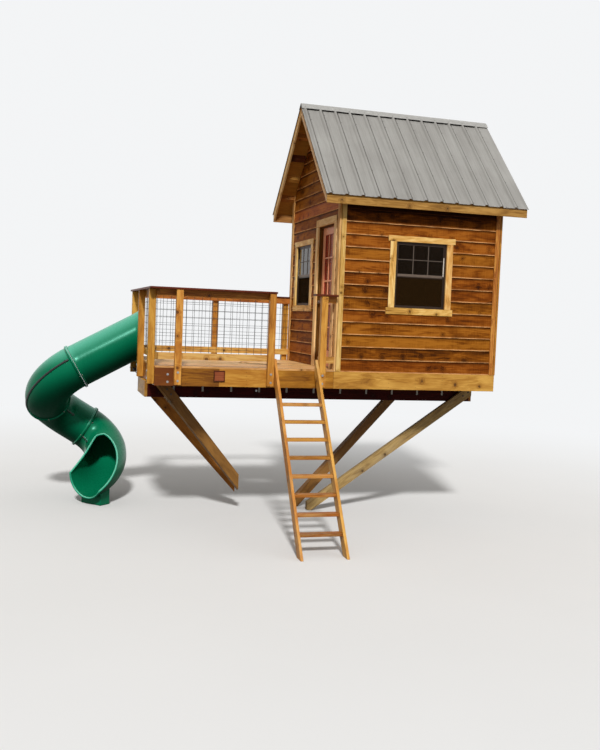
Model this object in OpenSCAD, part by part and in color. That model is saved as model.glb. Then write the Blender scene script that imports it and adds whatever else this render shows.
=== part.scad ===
// Tree house: a timber platform held between two beams on a trunk, with a lap-sided cabin
// under a ribbed metal roof, a railed deck with a ladder, and a tube slide that winds down.
// Millimetres, +Z up. X runs along the deck's front, Y away from the front, Z up.
// Sizes below are measured from the deck's front left corner at the walking surface.

/* [Deck] */
// Length of the platform along its front
deck_l = 4877; // [4000:1:6000]
// Depth of the platform from front to rear
deck_w = 2438; // [2200:1:3000]
// Height of the walking surface above the ground
deck_h = 2180; // [1900:1:2600]
// Thickness of the deck boards
board_t = 25; // [20:1:40]
// Width of one deck board
board_w = 139; // [90:1:190]
// Gap between deck boards
board_gap = 5; // [3:1:10]
// Height of the rim boards and joists
joist_h = 235; // [180:1:285]
// Thickness of framing lumber
stock_t = 38; // [32:1:50]
// Spacing of the joists, centre to centre
joist_step = 406.4; // [300:0.1:480]

/* [Trunk gap] */
// Distance of the trunk's centre from the left end of the deck
trunk_x = 1690; // [1600:1:1730]
// Clear width between the two beams, where the trunk passes
trunk_gap = 764; // [680:1:900]
// Diameter of the hole that the deck boards leave for the trunk
trunk_hole_d = 630; // [500:1:632]

/* [Beams and braces] */
// Height of the two main beams
beam_h = 220; // [140:1:235]
// Thickness of each main beam
beam_t = 76; // [60:1:115]
// Depth of the knee braces
brace_d = 140; // [100:1:160]
// Thickness of the knee braces
brace_t = 89; // [60:1:100]
// Diameter of the bolt holes through the beams at the trunk
trunk_bolt_d = 26; // [16:1:32]
// Spacing of the two bolt holes in each beam
trunk_bolt_step = 300; // [200:1:400]

/* [Cabin] */
// Length of the cabin along the deck
cabin_l = 2438; // [2300:1:2500]
// Thickness of the wall frames with their sheathing
wall_t = 95; // [80:1:110]
// Height of the side walls above the floor
wall_h = 2470; // [2440:1:2500]
// Thickness of the siding at a board's lower edge
clad_t = 20; // [14:1:24]
// Amount by which a siding board thins towards its upper edge
clad_taper = 12; // [6:1:13]
// Visible height of one siding board
clad_step = 171; // [120:1:220]
// Width of the corner boards and casings
trim_w = 92; // [70:1:110]
// Amount by which trim stands out past the siding
trim_proud = 6; // [3:1:12]

/* [Windows] */
// Width of a window opening
win_w = 762; // [600:1:820]
// Height of a window opening
win_h = 914; // [700:1:940]
// Height of the window openings above the floor
win_z = 886; // [700:1:940]
// Height of the flat board over a window
win_head_h = 80; // [60:1:110]
// Overhang of that board and of the sill past the side casings
win_ear = 32; // [15:1:45]
// Width of the window sash bars
sash_w = 38; // [30:1:50]
// Depth of the window sash
sash_t = 45; // [35:1:60]
// Thickness of the glass
glass_t = 6; // [4:1:10]

/* [Door] */
// Width of the doorway in the wall
door_w = 760; // [680:1:780]
// Height of the doorway
door_h = 2030; // [1950:1:2040]
// Distance of the doorway from the front of the cabin
door_y = 232; // [225:1:240]
// Thickness of the door leaf
leaf_t = 44; // [35:1:50]
// Gap round the door leaf
leaf_gap = 8; // [8:1:10]
// Width of the bars at the door's sides and top
stile_w = 105; // [80:1:130]
// Height of the door's bottom bar
kick_h = 230; // [160:1:320]

/* [Roof] */
// Slope of the roof in degrees
roof_pitch = 45; // [43:0.1:46]
// Height of the roof boards' upper face at the eave, above the floor
eave_z = 2363; // [2340:1:2380]
// Reach of the roof past the cabin at the eaves
eave_o = 209; // [190:1:240]
// Length of the roof along its ridge
roof_l = 3000; // [2850:1:3100]
// Thickness of the roof boards
sheath_t = 12; // [10:1:19]
// Depth of the rafters
rafter_d = 89; // [70:1:100]
// Height of the fascia boards
fascia_h = 118; // [90:1:140]
// Spacing of the ribs in the roof metal
rib_step = 228.6; // [150:0.1:300]
// Height of a rib
rib_h = 19; // [12:1:30]
// Thickness of the roof metal with its underlay
metal_t = 4; // [3:1:8]
// Width of one side of the ridge cap
cap_leg = 112; // [100:1:160]

/* [Railing] */
// Height of the rail cap above the deck
rail_h = 1020; // [900:1:1100]
// Side of a railing post
post_s = 89; // [75:1:100]
// Height of a rail
rail_d = 89; // [70:1:110]
// Height of the lower rail above the deck
low_rail_z = 86; // [60:1:160]
// Thickness of the rail cap
cap_t = 26; // [19:1:40]
// Width of the rail cap
cap_w = 148; // [140:1:170]
// Spacing of the wires in the railing mesh
wire_step = 101.6; // [75:0.1:130]
// Thickness of a wire in the railing mesh
wire_d = 5; // [4:1:8]
// Left edge of the gap in the front railing
entry_x = 1575; // [1500:1:1600]
// Width of the gap in the front railing
entry_w = 630; // [560:1:640]

/* [Ladder] */
// Slope of the ladder in degrees
ladder_slope = 54.7; // [50:0.1:62]
// Depth of the ladder's side boards
stringer_d = 140; // [110:1:160]
// Number of treads
tread_n = 8; // [6:1:8]
// Rise from tread to tread
tread_rise = 211; // [190:1:220]
// Depth of the first tread below the deck
tread_top = 431; // [400:1:440]
// Front to back size of a tread
tread_d = 118; // [90:1:125]

/* [Slide] */
// Outside diameter of the slide tube
tube_od = 630; // [560:1:660]
// Wall of the slide tube
tube_wall = 9; // [7:1:14]
// Amount by which the joint rings stand out
ring_out = 24; // [15:1:35]
// Width of a joint ring
ring_w = 44; // [30:1:60]
// Distance of the slide's centre from the front of the deck
slide_y = 1852; // [1840:1:1865]
// Height of the slide's centre above the deck where it leaves
slide_z = 345; // [335:1:360]
// Slope of the first straight stretch in degrees
slide_slope = 28.8; // [26:0.1:31]
// Height of the tube's centre line above the ground where the chute ends
lip_h = 418; // [390:1:460]
// Length of the short straight stretch before the exit
short_run = 270; // [240:1:330]
// Radius of the upper bend
upper_r = 595; // [560:1:620]
// Radius of the lower bend
lower_r = 505; // [480:1:540]
// Radius of the exit bend
exit_r = 438; // [420:1:460]
// Radius of the open chute's bend
chute_r = 950; // [900:1:1000]
// Height over the tube's centre of the plane that cuts the chute, where the chute starts
mouth_up = 425; // [400:1:450]
// Depth of the chute's cut edge under the tube's centre at the lip
lip_down = 90; // [60:1:120]
// Width of the slide's foot across the chute
foot_w = 390; // [340:1:420]
// Depth of the slide's foot along the chute
foot_l = 190; // [150:1:230]
// Width and height of the square plate at the slide's start
flange_s = 850; // [800:1:860]
// Thickness of that plate
flange_t = 14; // [10:1:20]

/* [Hidden] */
$fn = 96;

wood_dark = [0.50, 0.24, 0.10];
wood_gold = [0.76, 0.50, 0.20];
wood_red = [0.42, 0.19, 0.10];
metal_grey = [0.71, 0.69, 0.66];
slide_green = [0.02, 0.36, 0.25];
bronze = [0.16, 0.12, 0.10];
door_coral = [0.72, 0.24, 0.20];

eps = 0.5;
far = 9000;
mid_y = deck_w / 2;
joist_top = -board_t;
joist_bottom = joist_top - joist_h;
beam_bottom = joist_bottom - beam_h;
beam_inner = mid_y - trunk_gap / 2;
beam_front = beam_inner - beam_t;
cab_x0 = deck_l - cabin_l;
cab_x1 = deck_l;
cab_mid = (cab_x0 + cab_x1) / 2;
// The left wall's window stands midway between the door casing and the corner board
side_win_y = (door_y + door_w + deck_w) / 2;
slab_x0 = cab_x0 + clad_t;
inner_x0 = slab_x0 + wall_t;
inner_y = clad_t + wall_t;
clad_n = 24;
trim_t = clad_t + trim_proud;
slope_t = tan(roof_pitch);
slope_c = cos(roof_pitch);
roof_x0 = cab_mid - roof_l / 2;
fascia_t = 19;
barge_t = 25;
post_top = rail_h - cap_t;
post_bottom = joist_bottom + stock_t / 2;
top_rail_z = post_top - rail_d;
cap_out = cap_w - stock_t - (cap_w - post_s - stock_t) / 2;
post_clear = 12;
left_post_y = [55, slide_y - flange_s / 2 - post_clear - post_s,
    slide_y + flange_s / 2 + post_clear];
front_post_x = [245, entry_x - post_s, entry_x + entry_w];
rear_post_x = [0, 1190, cab_x0 - post_s - 10];
fit_gap = 1;
hole_clear = 20;
foot_share = 0.72;
foot_drop = tube_od * 0.36;

// Height of the roof boards' upper face over a point y of the front half
function roof_z(y) = eave_z + (y + eave_o) * slope_t;
// Drop, measured straight down, through a layer of thickness t
function drop(t) = t / slope_c;

// Headings of the slide's centre line, as unit vectors
function heading(turn, fall) = [cos(turn) * cos(fall), sin(turn) * cos(fall), -sin(fall)];
head_1 = heading(180, slide_slope);
head_2 = heading(74, 25);
head_3 = heading(2, 32);
head_4 = heading(-86, 29);
head_5 = heading(-138, 8);
// Travel along a bend of radius r between two headings
function bend_step(a, b, r) = (a + b) * r * tan(acos(a * b) / 2);
slide_0 = [-flange_t, slide_y, slide_z];
// The first straight stretch is as long as the way down to the ground needs
turns_z = (bend_step(head_1, head_2, upper_r) + bend_step(head_2, head_3, lower_r)
    + head_3 * short_run + bend_step(head_3, head_4, exit_r)
    + bend_step(head_4, head_5, chute_r))[2];
slide_run = (slide_z + turns_z + deck_h - lip_h) / sin(slide_slope);
slide_1 = slide_0 + head_1 * slide_run;
slide_2 = slide_1 + bend_step(head_1, head_2, upper_r);
slide_3 = slide_2 + bend_step(head_2, head_3, lower_r);
slide_4 = slide_3 + head_3 * short_run;
slide_5 = slide_4 + bend_step(head_3, head_4, exit_r);
slide_6 = slide_5 + bend_step(head_4, head_5, chute_r);

// The origin is on the front beam's trunk side, level with its middle and the trunk's centre
module placed() {
    translate([-trunk_x, -beam_inner, -(joist_bottom - beam_h / 2)]) children();
}

module box(a, b) {
    translate(a) cube(b - a);
}

module mirror_y() {
    translate([0, deck_w, 0]) mirror([0, 1, 0]) children();
}

module both_sides() {
    children();
    mirror_y() children();
}

// A shape drawn in Y and Z, drawn out along X from x0 by a length
module along_x(x0, len) {
    translate([x0, 0, 0]) rotate([90, 0, 90]) linear_extrude(len) children();
}

// A shape drawn in X and Z, drawn out along Y from y0 by a length
module along_y(y0, len) {
    translate([0, y0 + len, 0]) rotate([90, 0, 0]) linear_extrude(len) children();
}

// Platform

module front_rim() {
    color(wood_gold) box([0, 0, joist_bottom], [deck_l, stock_t, joist_top]);
}

module rear_rim() {
    color(wood_gold) mirror_y() box([0, 0, joist_bottom], [deck_l, stock_t, joist_top]);
}

module end_rims() {
    color(wood_gold) for (x = [0, deck_l - stock_t])
        box([x, stock_t, joist_bottom], [x + stock_t, deck_w - stock_t, joist_top]);
}

// Joists at regular steps. The one that meets the trunk is cut and carried by two headers.
module joists() {
    count = floor((deck_l - 2 * stock_t) / joist_step);
    cut = floor(trunk_x / joist_step + 0.5);
    head_y = mid_y - trunk_hole_d / 2 - hole_clear - stock_t;
    color(wood_dark) {
        for (k = [1 : count]) {
            x = k * joist_step - stock_t / 2;
            if (k == cut)
                both_sides() box([x, stock_t, joist_bottom],
                    [x + stock_t, head_y - fit_gap, joist_top]);
            else if (x + 2 * stock_t < deck_l)
                box([x, stock_t, joist_bottom], [x + stock_t, deck_w - stock_t, joist_top]);
        }
        both_sides()
            box([(cut - 1) * joist_step + stock_t / 2 + fit_gap, head_y, joist_bottom],
                [(cut + 1) * joist_step - stock_t / 2 - fit_gap, head_y + stock_t, joist_top]);
    }
}

module beam() {
    difference() {
        box([0, beam_front, beam_bottom], [deck_l, beam_inner, joist_bottom]);
        for (side = [-1, 1])
            translate([trunk_x + side * trunk_bolt_step / 2, beam_front - 1,
                joist_bottom - beam_h / 2]) rotate([-90, 0, 0])
                cylinder(h = beam_t + 2, d = trunk_bolt_d);
    }
}

module main_beams() {
    color(wood_dark) both_sides() beam();
}

module beam_end_boards() {
    color(wood_gold) for (x = [-stock_t, deck_l])
        box([x, beam_front, beam_bottom], [x + stock_t, deck_w - beam_front, joist_bottom]);
}

// A knee brace, from its top point on a beam's outer face to its foot beside the trunk. It
// leans in towards the trunk, and is housed where it laps the beam.
brace_y = beam_front - brace_t / 2 - 12;
foot_y = mid_y - 0.17 * trunk_gap;
end_clear = 10;
module brace(top, foot) {
    run = [foot[0] - top[0], foot_y - brace_y, foot[1] - top[1]];
    len = norm(run);
    x_low = foot[0] > top[0] ? max(end_clear, top[0] - brace_d) : foot[0];
    x_high = foot[0] > top[0] ? foot[0] : min(deck_l - end_clear, top[0] + brace_d);
    color(wood_dark) difference() {
        intersection() {
            translate([top[0], brace_y, top[1]])
                rotate([0, -asin(run[2] / len), atan2(run[1], run[0])])
                    translate([-brace_d, -brace_t / 2, -brace_d / 2])
                        cube([len + 2 * brace_d, brace_t, brace_d]);
            box([x_low, -far, end_clear - deck_h], [x_high, far, joist_bottom]);
        }
        box([-far, beam_front - eps, beam_bottom - eps], [far, beam_inner + eps, far]);
    }
}

// Heights of the braces' feet above the ground, and where they stand beside the trunk
left_foot = [trunk_x - 0.39 * trunk_gap, 430 - deck_h];
rear_left_foot = [trunk_x - 0.39 * trunk_gap, 360 - deck_h];
right_foot = [trunk_x + trunk_gap, 40 - deck_h];
rear_foot = [trunk_x + 0.86 * trunk_gap, 80 - deck_h];
left_top = [0.0435 * deck_l, joist_bottom - 60];
rear_left_top = [0.0075 * deck_l, joist_bottom - 60];
right_top = [deck_l - end_clear, joist_bottom - 40];
rear_top = [cab_mid + 0.213 * cabin_l, joist_bottom - 60];
module knee_braces() {
    brace(left_top, left_foot);
    brace(right_top, right_foot);
    mirror_y() {
        brace(rear_left_top, rear_left_foot);
        brace(rear_top, rear_foot);
    }
}

// Deck boards along X, cut round where the trunk passes
module decking() {
    pitch = board_w + board_gap;
    count = ceil(deck_w / pitch);
    color(wood_gold) difference() {
        for (k = [0 : count - 1])
            box([0, k * pitch, -board_t],
                [cab_x0 - trim_proud - fit_gap, min(k * pitch + board_w, deck_w), 0]);
        translate([trunk_x, mid_y, -board_t - 1]) cylinder(h = board_t + 2, d = trunk_hole_d);
    }
}

module cabin_floor() {
    color(wood_gold) box([slab_x0, clad_t, -board_t], [cab_x1 - clad_t, deck_w - clad_t, 0]);
}

// Cabin walls

// Section of the siding: boards that lap down from the top
module siding_section() {
    polygon(concat(
        [[clad_t, joist_top]],
        [for (k = [0 : clad_n - 1]) each [
            [0, joist_top + k * clad_step],
            [clad_taper, joist_top + (k + 1) * clad_step]]],
        [[clad_t, joist_top + clad_n * clad_step]]));
}

// A long wall, with its siding between the corner boards and its frame behind them
module long_wall() {
    box([slab_x0, clad_t, 0], [cab_x1 - clad_t, inner_y, wall_h]);
    intersection() {
        along_x(cab_x0 + trim_w, cabin_l - 2 * trim_w) siding_section();
        box([cab_x0, -1, -far], [cab_x1, inner_y, siding_top()]);
    }
}

// The siding stops under the rafters
function siding_top() = roof_z(0) - drop(sheath_t + rafter_d);

module window_hole(x) {
    box([x - win_w / 2, -50, win_z], [x + win_w / 2, inner_y + 50, win_z + win_h]);
}

// Space that the siding leaves for a window's casing
module window_trim_shape(x, depth) {
    translate([x, 0, 0]) {
        box([-win_w / 2 - trim_w, clad_t - depth, win_z - 1],
            [win_w / 2 + trim_w, clad_t, win_z + win_h + 1]);
        for (z = [win_z - trim_w, win_z + win_h])
            box([-win_w / 2 - trim_w - win_ear, clad_t - depth, z],
                [win_w / 2 + trim_w + win_ear, clad_t, z + (z < win_z ? trim_w : win_head_h)]);
    }
}

module front_wall() {
    color(wood_red) difference() {
        long_wall();
        window_hole(cab_mid);
        window_trim_shape(cab_mid, clad_t + 5);
    }
}

module rear_wall() {
    color(wood_red) mirror_y() difference() {
        long_wall();
        window_hole(cab_mid);
        window_trim_shape(cab_mid, clad_t + 5);
    }
}

// Outline of a gable wall between two distances from the front, under the roof boards
module gable_outline(y0, y1, base) {
    under = roof_z(0) - drop(sheath_t);
    polygon([[y0, base], [y1, base], [y1, under + (deck_w - y1) * slope_t],
        [mid_y, under + mid_y * slope_t], [y0, under + y0 * slope_t]]);
}

// A whole gable wall on the left side, with no openings. Its frame fits between the long
// walls and spreads over their tops.
module gable_wall() {
    along_x(slab_x0, wall_t) {
        gable_outline(inner_y, deck_w - inner_y, 0);
        gable_outline(clad_t, deck_w - clad_t, wall_h);
    }
    intersection() {
        translate([cab_x0, 0, 0]) along_y(trim_w, deck_w - 2 * trim_w) siding_section();
        along_x(cab_x0 - 1, clad_t + 1) gable_outline(trim_w, deck_w - trim_w, -far);
    }
}

// Turns a shape made for the front wall, with its place along X, to the left gable wall
module on_left() {
    translate([cab_x0, 0, 0]) mirror([1, -1, 0]) children();
}

module on_right() {
    translate([2 * cab_mid, 0, 0]) mirror([1, 0, 0]) on_left() children();
}

module right_wall() {
    color(wood_red) difference() {
        translate([2 * cab_mid, 0, 0]) mirror([1, 0, 0]) gable_wall();
        on_right() window_hole(mid_y);
        on_right() window_trim_shape(mid_y, clad_t + 5);
    }
}

// Casing on the left wall round the doorway, which laps over part of the lining's edge
module door_trim_shape(depth) {
    difference() {
        box([cab_x0 + clad_t - depth, door_y - trim_w, joist_top],
            [cab_x0 + clad_t, door_y + door_w + trim_w, door_h + trim_w]);
        box([-far, door_y + casing_lap, -far],
            [far, door_y + door_w - casing_lap, door_h - casing_lap]);
    }
}

module left_wall_part(y0, y1, z0, z1) {
    color(wood_red) intersection() {
        difference() {
            gable_wall();
            on_left() window_hole(side_win_y);
            on_left() window_trim_shape(side_win_y, clad_t + 5);
            door_trim_shape(clad_t + 5);
        }
        box([cab_x0 - 50, y0, z0], [inner_x0 + 50, y1, z1]);
    }
}

module left_wall_front() {
    left_wall_part(0, door_y, -far, door_h);
}

module left_wall_rear() {
    left_wall_part(door_y + door_w, deck_w, -far, door_h);
}

module left_gable() {
    left_wall_part(0, deck_w, door_h, far);
}

// Corner boards, two to a corner. The one on the gable reaches up to the roof boards.
module corner_boards() {
    color(wood_gold) for (side = [0, 1]) translate([side * 2 * cab_mid, 0, 0])
        mirror([side, 0, 0]) both_sides() {
            box([slab_x0 + fit_gap, -trim_proud, joist_top],
                [cab_x0 + trim_w, clad_t, siding_top() - trim_proud * slope_t]);
            along_x(cab_x0 - trim_proud, trim_t) intersection() {
                gable_outline(-trim_proud, deck_w + trim_proud, joist_top);
                translate([-trim_proud, -far]) square([trim_proud + trim_w, 2 * far]);
            }
        }
}

// Places one window's parts on each wall
module each_window() {
    translate([cab_mid, 0, 0]) children();
    mirror_y() translate([cab_mid, 0, 0]) children();
    on_left() translate([side_win_y, 0, 0]) children();
    on_right() translate([mid_y, 0, 0]) children();
}

module window_trims() {
    color(wood_gold) each_window() difference() {
        window_trim_shape(0, trim_t);
        box([-win_w / 2, -100, win_z], [win_w / 2, 100, win_z + win_h]);
    }
}

sash_y = clad_t + 6;
lite_h = (win_h - 3 * sash_w) / 2;
module window_sashes() {
    color(bronze) each_window() difference() {
        box([-win_w / 2, sash_y, win_z], [win_w / 2, sash_y + sash_t, win_z + win_h]);
        for (k = [0, 1])
            box([-win_w / 2 + sash_w, -1, win_z + sash_w + k * (lite_h + sash_w)],
                [win_w / 2 - sash_w, 300, win_z + (k + 1) * (lite_h + sash_w)]);
    }
}

module window_glass() {
    color([0.6, 0.7, 0.75, 0.4]) each_window() for (k = [0, 1])
        box([-win_w / 2 + sash_w, sash_y + (sash_t - glass_t) / 2,
                win_z + sash_w + k * (lite_h + sash_w)],
            [win_w / 2 - sash_w, sash_y + (sash_t + glass_t) / 2,
                win_z + (k + 1) * (lite_h + sash_w)]);
}

// Door

lining_t = 18;
casing_lap = 12;
leaf_y0 = door_y + lining_t + leaf_gap;
leaf_y1 = door_y + door_w - lining_t - leaf_gap;
leaf_z0 = 10;
leaf_z1 = door_h - lining_t - leaf_gap;
leaf_x1 = inner_x0;
leaf_x0 = leaf_x1 - leaf_t;

// Casing and threshold outside, lining through the wall, and the stop that the leaf shuts on
module door_frame() {
    color(wood_gold) {
        door_trim_shape(trim_t);
        box([cab_x0 - trim_proud, door_y + casing_lap, joist_top],
            [slab_x0, door_y + door_w - casing_lap, leaf_z0 / 2]);
        difference() {
            box([slab_x0, door_y, 0], [inner_x0, door_y + door_w, door_h]);
            box([-far, door_y + lining_t, -1],
                [far, door_y + door_w - lining_t, door_h - lining_t]);
        }
        difference() {
            box([slab_x0 + 14, door_y + lining_t - 1, 0],
                [leaf_x0 - leaf_gap, door_y + door_w - lining_t + 1, door_h - lining_t + 1]);
            box([-far, door_y + lining_t + 12, -1],
                [far, door_y + door_w - lining_t - 12, door_h - lining_t - 12]);
        }
    }
}

pane_z0 = leaf_z0 + kick_h;
pane_z1 = leaf_z1 - stile_w;
module door_pane(x0, x1) {
    box([x0, leaf_y0 + stile_w, pane_z0], [x1, leaf_y1 - stile_w, pane_z1]);
}

module door_leaf() {
    color(door_coral) difference() {
        box([leaf_x0, leaf_y0, leaf_z0], [leaf_x1, leaf_y1, leaf_z1]);
        door_pane(leaf_x0 - 1, leaf_x1 + 1);
    }
}

module door_glass() {
    mid = (leaf_x0 + leaf_x1) / 2;
    color([0.6, 0.7, 0.75, 0.4]) door_pane(mid - glass_t / 2, mid + glass_t / 2);
}

knob_z = 930;
// A knob on each face of the leaf, on a round plate
module door_knobs() {
    knob_y = leaf_y1 - stile_w / 2;
    color("silver") for (side = [0, 1])
        translate([side == 0 ? leaf_x0 : leaf_x1, knob_y, knob_z])
            rotate([0, side == 0 ? -90 : 90, 0]) rotate_extrude()
                polygon([[0, 0], [30, 0], [30, 5], [12, 9], [12, 26], [24, 34], [28, 44],
                    [24, 54], [12, 60], [0, 61]]);
}

// Roof

// A layer of the front slope between two depths under the roof boards' upper face
module slope_layer(y0, y1, top, bottom) {
    polygon([[y0, roof_z(y0) - drop(top)], [y1, roof_z(y1) - drop(top)],
        [y1, roof_z(y1) - drop(bottom)], [y0, roof_z(y0) - drop(bottom)]]);
}

ridge_t = 25;
// Rafter pairs on a ridge board, notched where they sit on the walls
module rafters() {
    ridge_top = roof_z(mid_y - ridge_t / 2) - drop(sheath_t);
    count = floor((cabin_l - 2 * inner_y) / joist_step);
    first = cab_mid - (count - 1) / 2 * joist_step;
    color(wood_gold) {
        box([inner_x0, mid_y - ridge_t / 2, ridge_top - drop(rafter_d) - 10],
            [2 * cab_mid - inner_x0, mid_y + ridge_t / 2, ridge_top]);
        both_sides() for (k = [0 : count - 1])
            difference() {
                along_x(first + k * joist_step - stock_t / 2, stock_t)
                    slope_layer(-eave_o + fascia_t, mid_y - ridge_t / 2 - fit_gap,
                        sheath_t, sheath_t + rafter_d);
                box([-far, clad_t, -far], [far, inner_y, wall_h]);
            }
    }
}

// The ladder frame that carries each gable overhang: a barge board and short lookouts
module rake_frame() {
    look_n = 5;
    first = 60;
    step = (mid_y - first - 60) / (look_n - 1);
    x0 = roof_x0 + 12;
    both_sides() {
        along_x(x0, barge_t)
            slope_layer(-eave_o + fascia_t, mid_y - fit_gap / 2, sheath_t, sheath_t + rafter_d);
        for (k = [0 : look_n - 1])
            along_x(x0 + barge_t + fit_gap, cab_x0 - trim_proud - x0 - barge_t - 2 * fit_gap)
                slope_layer(first + k * step - 19, first + k * step + 19,
                    sheath_t, sheath_t + rafter_d / 2);
    }
}

module rake_frames() {
    color(wood_gold) {
        rake_frame();
        translate([2 * cab_mid, 0, 0]) mirror([1, 0, 0]) rake_frame();
    }
}

module fascias() {
    top = roof_z(-eave_o) - drop(sheath_t);
    color(wood_gold) both_sides() box([roof_x0 + 12, -eave_o, top - fascia_h],
        [roof_x0 + roof_l - 12, -eave_o + fascia_t, top]);
}

module roof_boards() {
    color(wood_dark) both_sides() along_x(roof_x0 + 6, roof_l - 12)
        slope_layer(-eave_o, mid_y - 6, 0, sheath_t);
}

// Ribbed sheet: its section lies across the slope and is drawn out up the slope
rib_first = 52;
rib_foot = 60;
rib_top = 24;
metal_out = 28;
module roof_sheet() {
    count = floor((roof_l - rib_first - rib_foot / 2) / rib_step);
    y0 = -eave_o - metal_out * slope_c;
    len = (mid_y - y0) / slope_c - 14;
    color(metal_grey) translate([roof_x0, y0, roof_z(y0)]) rotate([roof_pitch - 90, 0, 0])
        linear_extrude(len) polygon(concat(
            [[0, -eps], [0, -metal_t]],
            [for (k = [0 : count]) each [
                [rib_first + k * rib_step - rib_foot / 2, -metal_t],
                [rib_first + k * rib_step - rib_top / 2, -metal_t - rib_h],
                [rib_first + k * rib_step + rib_top / 2, -metal_t - rib_h],
                [rib_first + k * rib_step + rib_foot / 2, -metal_t]]],
            [[roof_l, -metal_t], [roof_l, -eps]]));
}

module roof_metal() {
    both_sides() roof_sheet();
}

module ridge_cap() {
    under = roof_z(mid_y) + drop(metal_t + rib_h);
    reach = cap_leg * slope_c;
    color(metal_grey) along_x(roof_x0, roof_l)
        polygon([[mid_y - reach, under - reach * slope_t], [mid_y, under],
            [mid_y + reach, under - reach * slope_t],
            [mid_y + reach, under - reach * slope_t + drop(3)], [mid_y, under + drop(3)],
            [mid_y - reach, under - reach * slope_t + drop(3)]]);
}

// Ladder

ladder_t = tan(ladder_slope);
stringer_top = 130;
side_gap = 5;
// Distance from the deck of the ladder's front edge at a height
function ladder_y(z) = -20 + (z - stringer_top) / ladder_t;

module ladder_sides() {
    back = stringer_d / sin(ladder_slope);
    color(wood_gold) for (x = [entry_x + side_gap, entry_x + entry_w - side_gap - stock_t])
        along_x(x, stock_t) intersection() {
            polygon([[ladder_y(-deck_h), -deck_h], [ladder_y(-deck_h) + back, -deck_h],
                [ladder_y(stringer_top) + back, stringer_top],
                [ladder_y(stringer_top), stringer_top]]);
            translate([-far, -far]) square([far, 2 * far]);
        }
}

module ladder_treads() {
    color(wood_gold) for (k = [0 : tread_n - 1]) {
        z = -tread_top - k * tread_rise;
        y = ladder_y(z) + 12;
        box([entry_x + side_gap + stock_t, y, z - stock_t],
            [entry_x + entry_w - side_gap - stock_t, y + tread_d, z]);
    }
}

// Railing

module railing_posts() {
    color(wood_gold) {
        for (x = front_post_x)
            box([x, -post_s, post_bottom], [x + post_s, 0, post_top]);
        for (y = left_post_y)
            box([-post_s, y, post_bottom], [0, y + post_s, post_top]);
        for (x = rear_post_x)
            box([x, deck_w, post_bottom], [x + post_s, deck_w + post_s, post_top]);
    }
}

short_rail_x = entry_x + entry_w;
low_left_y = left_post_y[1] + post_s;
module rails() {
    color(wood_gold) for (z = [low_rail_z, top_rail_z]) {
        box([stock_t + fit_gap, 0, z], [entry_x, stock_t, z + rail_d]);
        box([short_rail_x, 0, z], [cab_x0 - trim_proud, stock_t, z + rail_d]);
        box([0, 0, z],
            [stock_t, z == low_rail_z ? low_left_y : deck_w - stock_t - fit_gap, z + rail_d]);
        box([0, deck_w - stock_t, z], [cab_x0 - trim_proud, deck_w, z + rail_d]);
    }
}

module rail_caps() {
    inner = cap_w - cap_out;
    z = rail_h - cap_t;
    color(wood_dark) {
        box([-cap_out, -cap_out, z], [entry_x + 10, inner, rail_h]);
        box([short_rail_x - 90, -cap_out, z], [cab_x0 - trim_proud, inner, rail_h]);
        box([-cap_out, inner + fit_gap, z], [inner, deck_w - inner - fit_gap, rail_h]);
        box([-cap_out, deck_w - inner, z], [cab_x0 - trim_proud, deck_w + cap_out, rail_h]);
    }
}

// Welded wire between the rails: upright wires behind, level wires in front
module wire_panel(len) {
    z0 = low_rail_z + rail_d;
    z1 = top_rail_z;
    for (x = [wire_step / 2 : wire_step : len - wire_d])
        box([x, 0, z0], [x + wire_d, wire_d, z1]);
    for (z = [z0 + wire_step / 2 : wire_step : z1 - wire_d])
        box([0, -wire_d / 2, z], [len, wire_d / 2, z + wire_d]);
}

module front_mesh() {
    color("black") translate([stock_t + fit_gap, stock_t / 2, 0])
        wire_panel(entry_x - stock_t - fit_gap - wire_d);
}

module left_mesh() {
    color("black") translate([stock_t / 2, 0, 0]) mirror([1, -1, 0]) wire_panel(low_left_y);
}

module rear_mesh() {
    color("black") translate([0, deck_w - stock_t / 2, 0])
        wire_panel(cab_x0 - trim_proud);
}

// Slide

tube_id = tube_od - 2 * tube_wall;
ring_od = tube_od + 2 * ring_out;

// The plate with rounded corners that the slide is bolted to the deck by
module slide_plate() {
    corner_r = 90;
    low = slide_z - flange_s / 2 - 70;
    color(slide_green) difference() {
        translate([-flange_t, slide_y - flange_s / 2, low]) rotate([90, 0, 90])
            linear_extrude(flange_t) union() {
                translate([corner_r, 0]) square([flange_s - 2 * corner_r, flange_s]);
                translate([0, corner_r]) square([flange_s, flange_s - 2 * corner_r]);
                for (y = [corner_r, flange_s - corner_r], z = [corner_r, flange_s - corner_r])
                    translate([y, z]) circle(corner_r);
            }
        aim(slide_0, head_1) translate([0, 0, -far / 2]) cylinder(h = far, d = tube_id);
    }
}

// Stands a shape that is made up +Z at a point, turned to a heading
module aim(at, head) {
    translate(at) rotate([0, acos(head[2]), atan2(head[1], head[0])]) children();
}

// A straight length of tube from a point along a heading, with half of a joint ring at its end.
// Wall and ring are one profile, turned about the tube's line.
module pipe(at, head, from, to) {
    ring_from = to + fit_gap - ring_w / 2;
    aim(at, head) rotate_extrude() polygon([
        [tube_id / 2, from], [tube_od / 2, from], [tube_od / 2, ring_from],
        [ring_od / 2, ring_from], [ring_od / 2, to], [tube_id / 2, to]]);
}

// Places children at a bend's centre, with its start on +X and its turn about +Z.
// The bend starts at a point with heading a and ends with heading b, in the plane of both.
module bend_frame(at, a, b, r) {
    up = cross(a, b) / norm(cross(a, b));
    out = cross(a, up);
    across = cross(up, out);
    translate(at - out * r)
        rotate([atan2(across[2], up[2]), asin(-out[2]), atan2(out[1], out[0])]) children();
}

module arc(r, from, to) {
    rotate([0, 0, from]) rotate_extrude(angle = to - from) translate([r, 0]) children();
}

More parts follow.
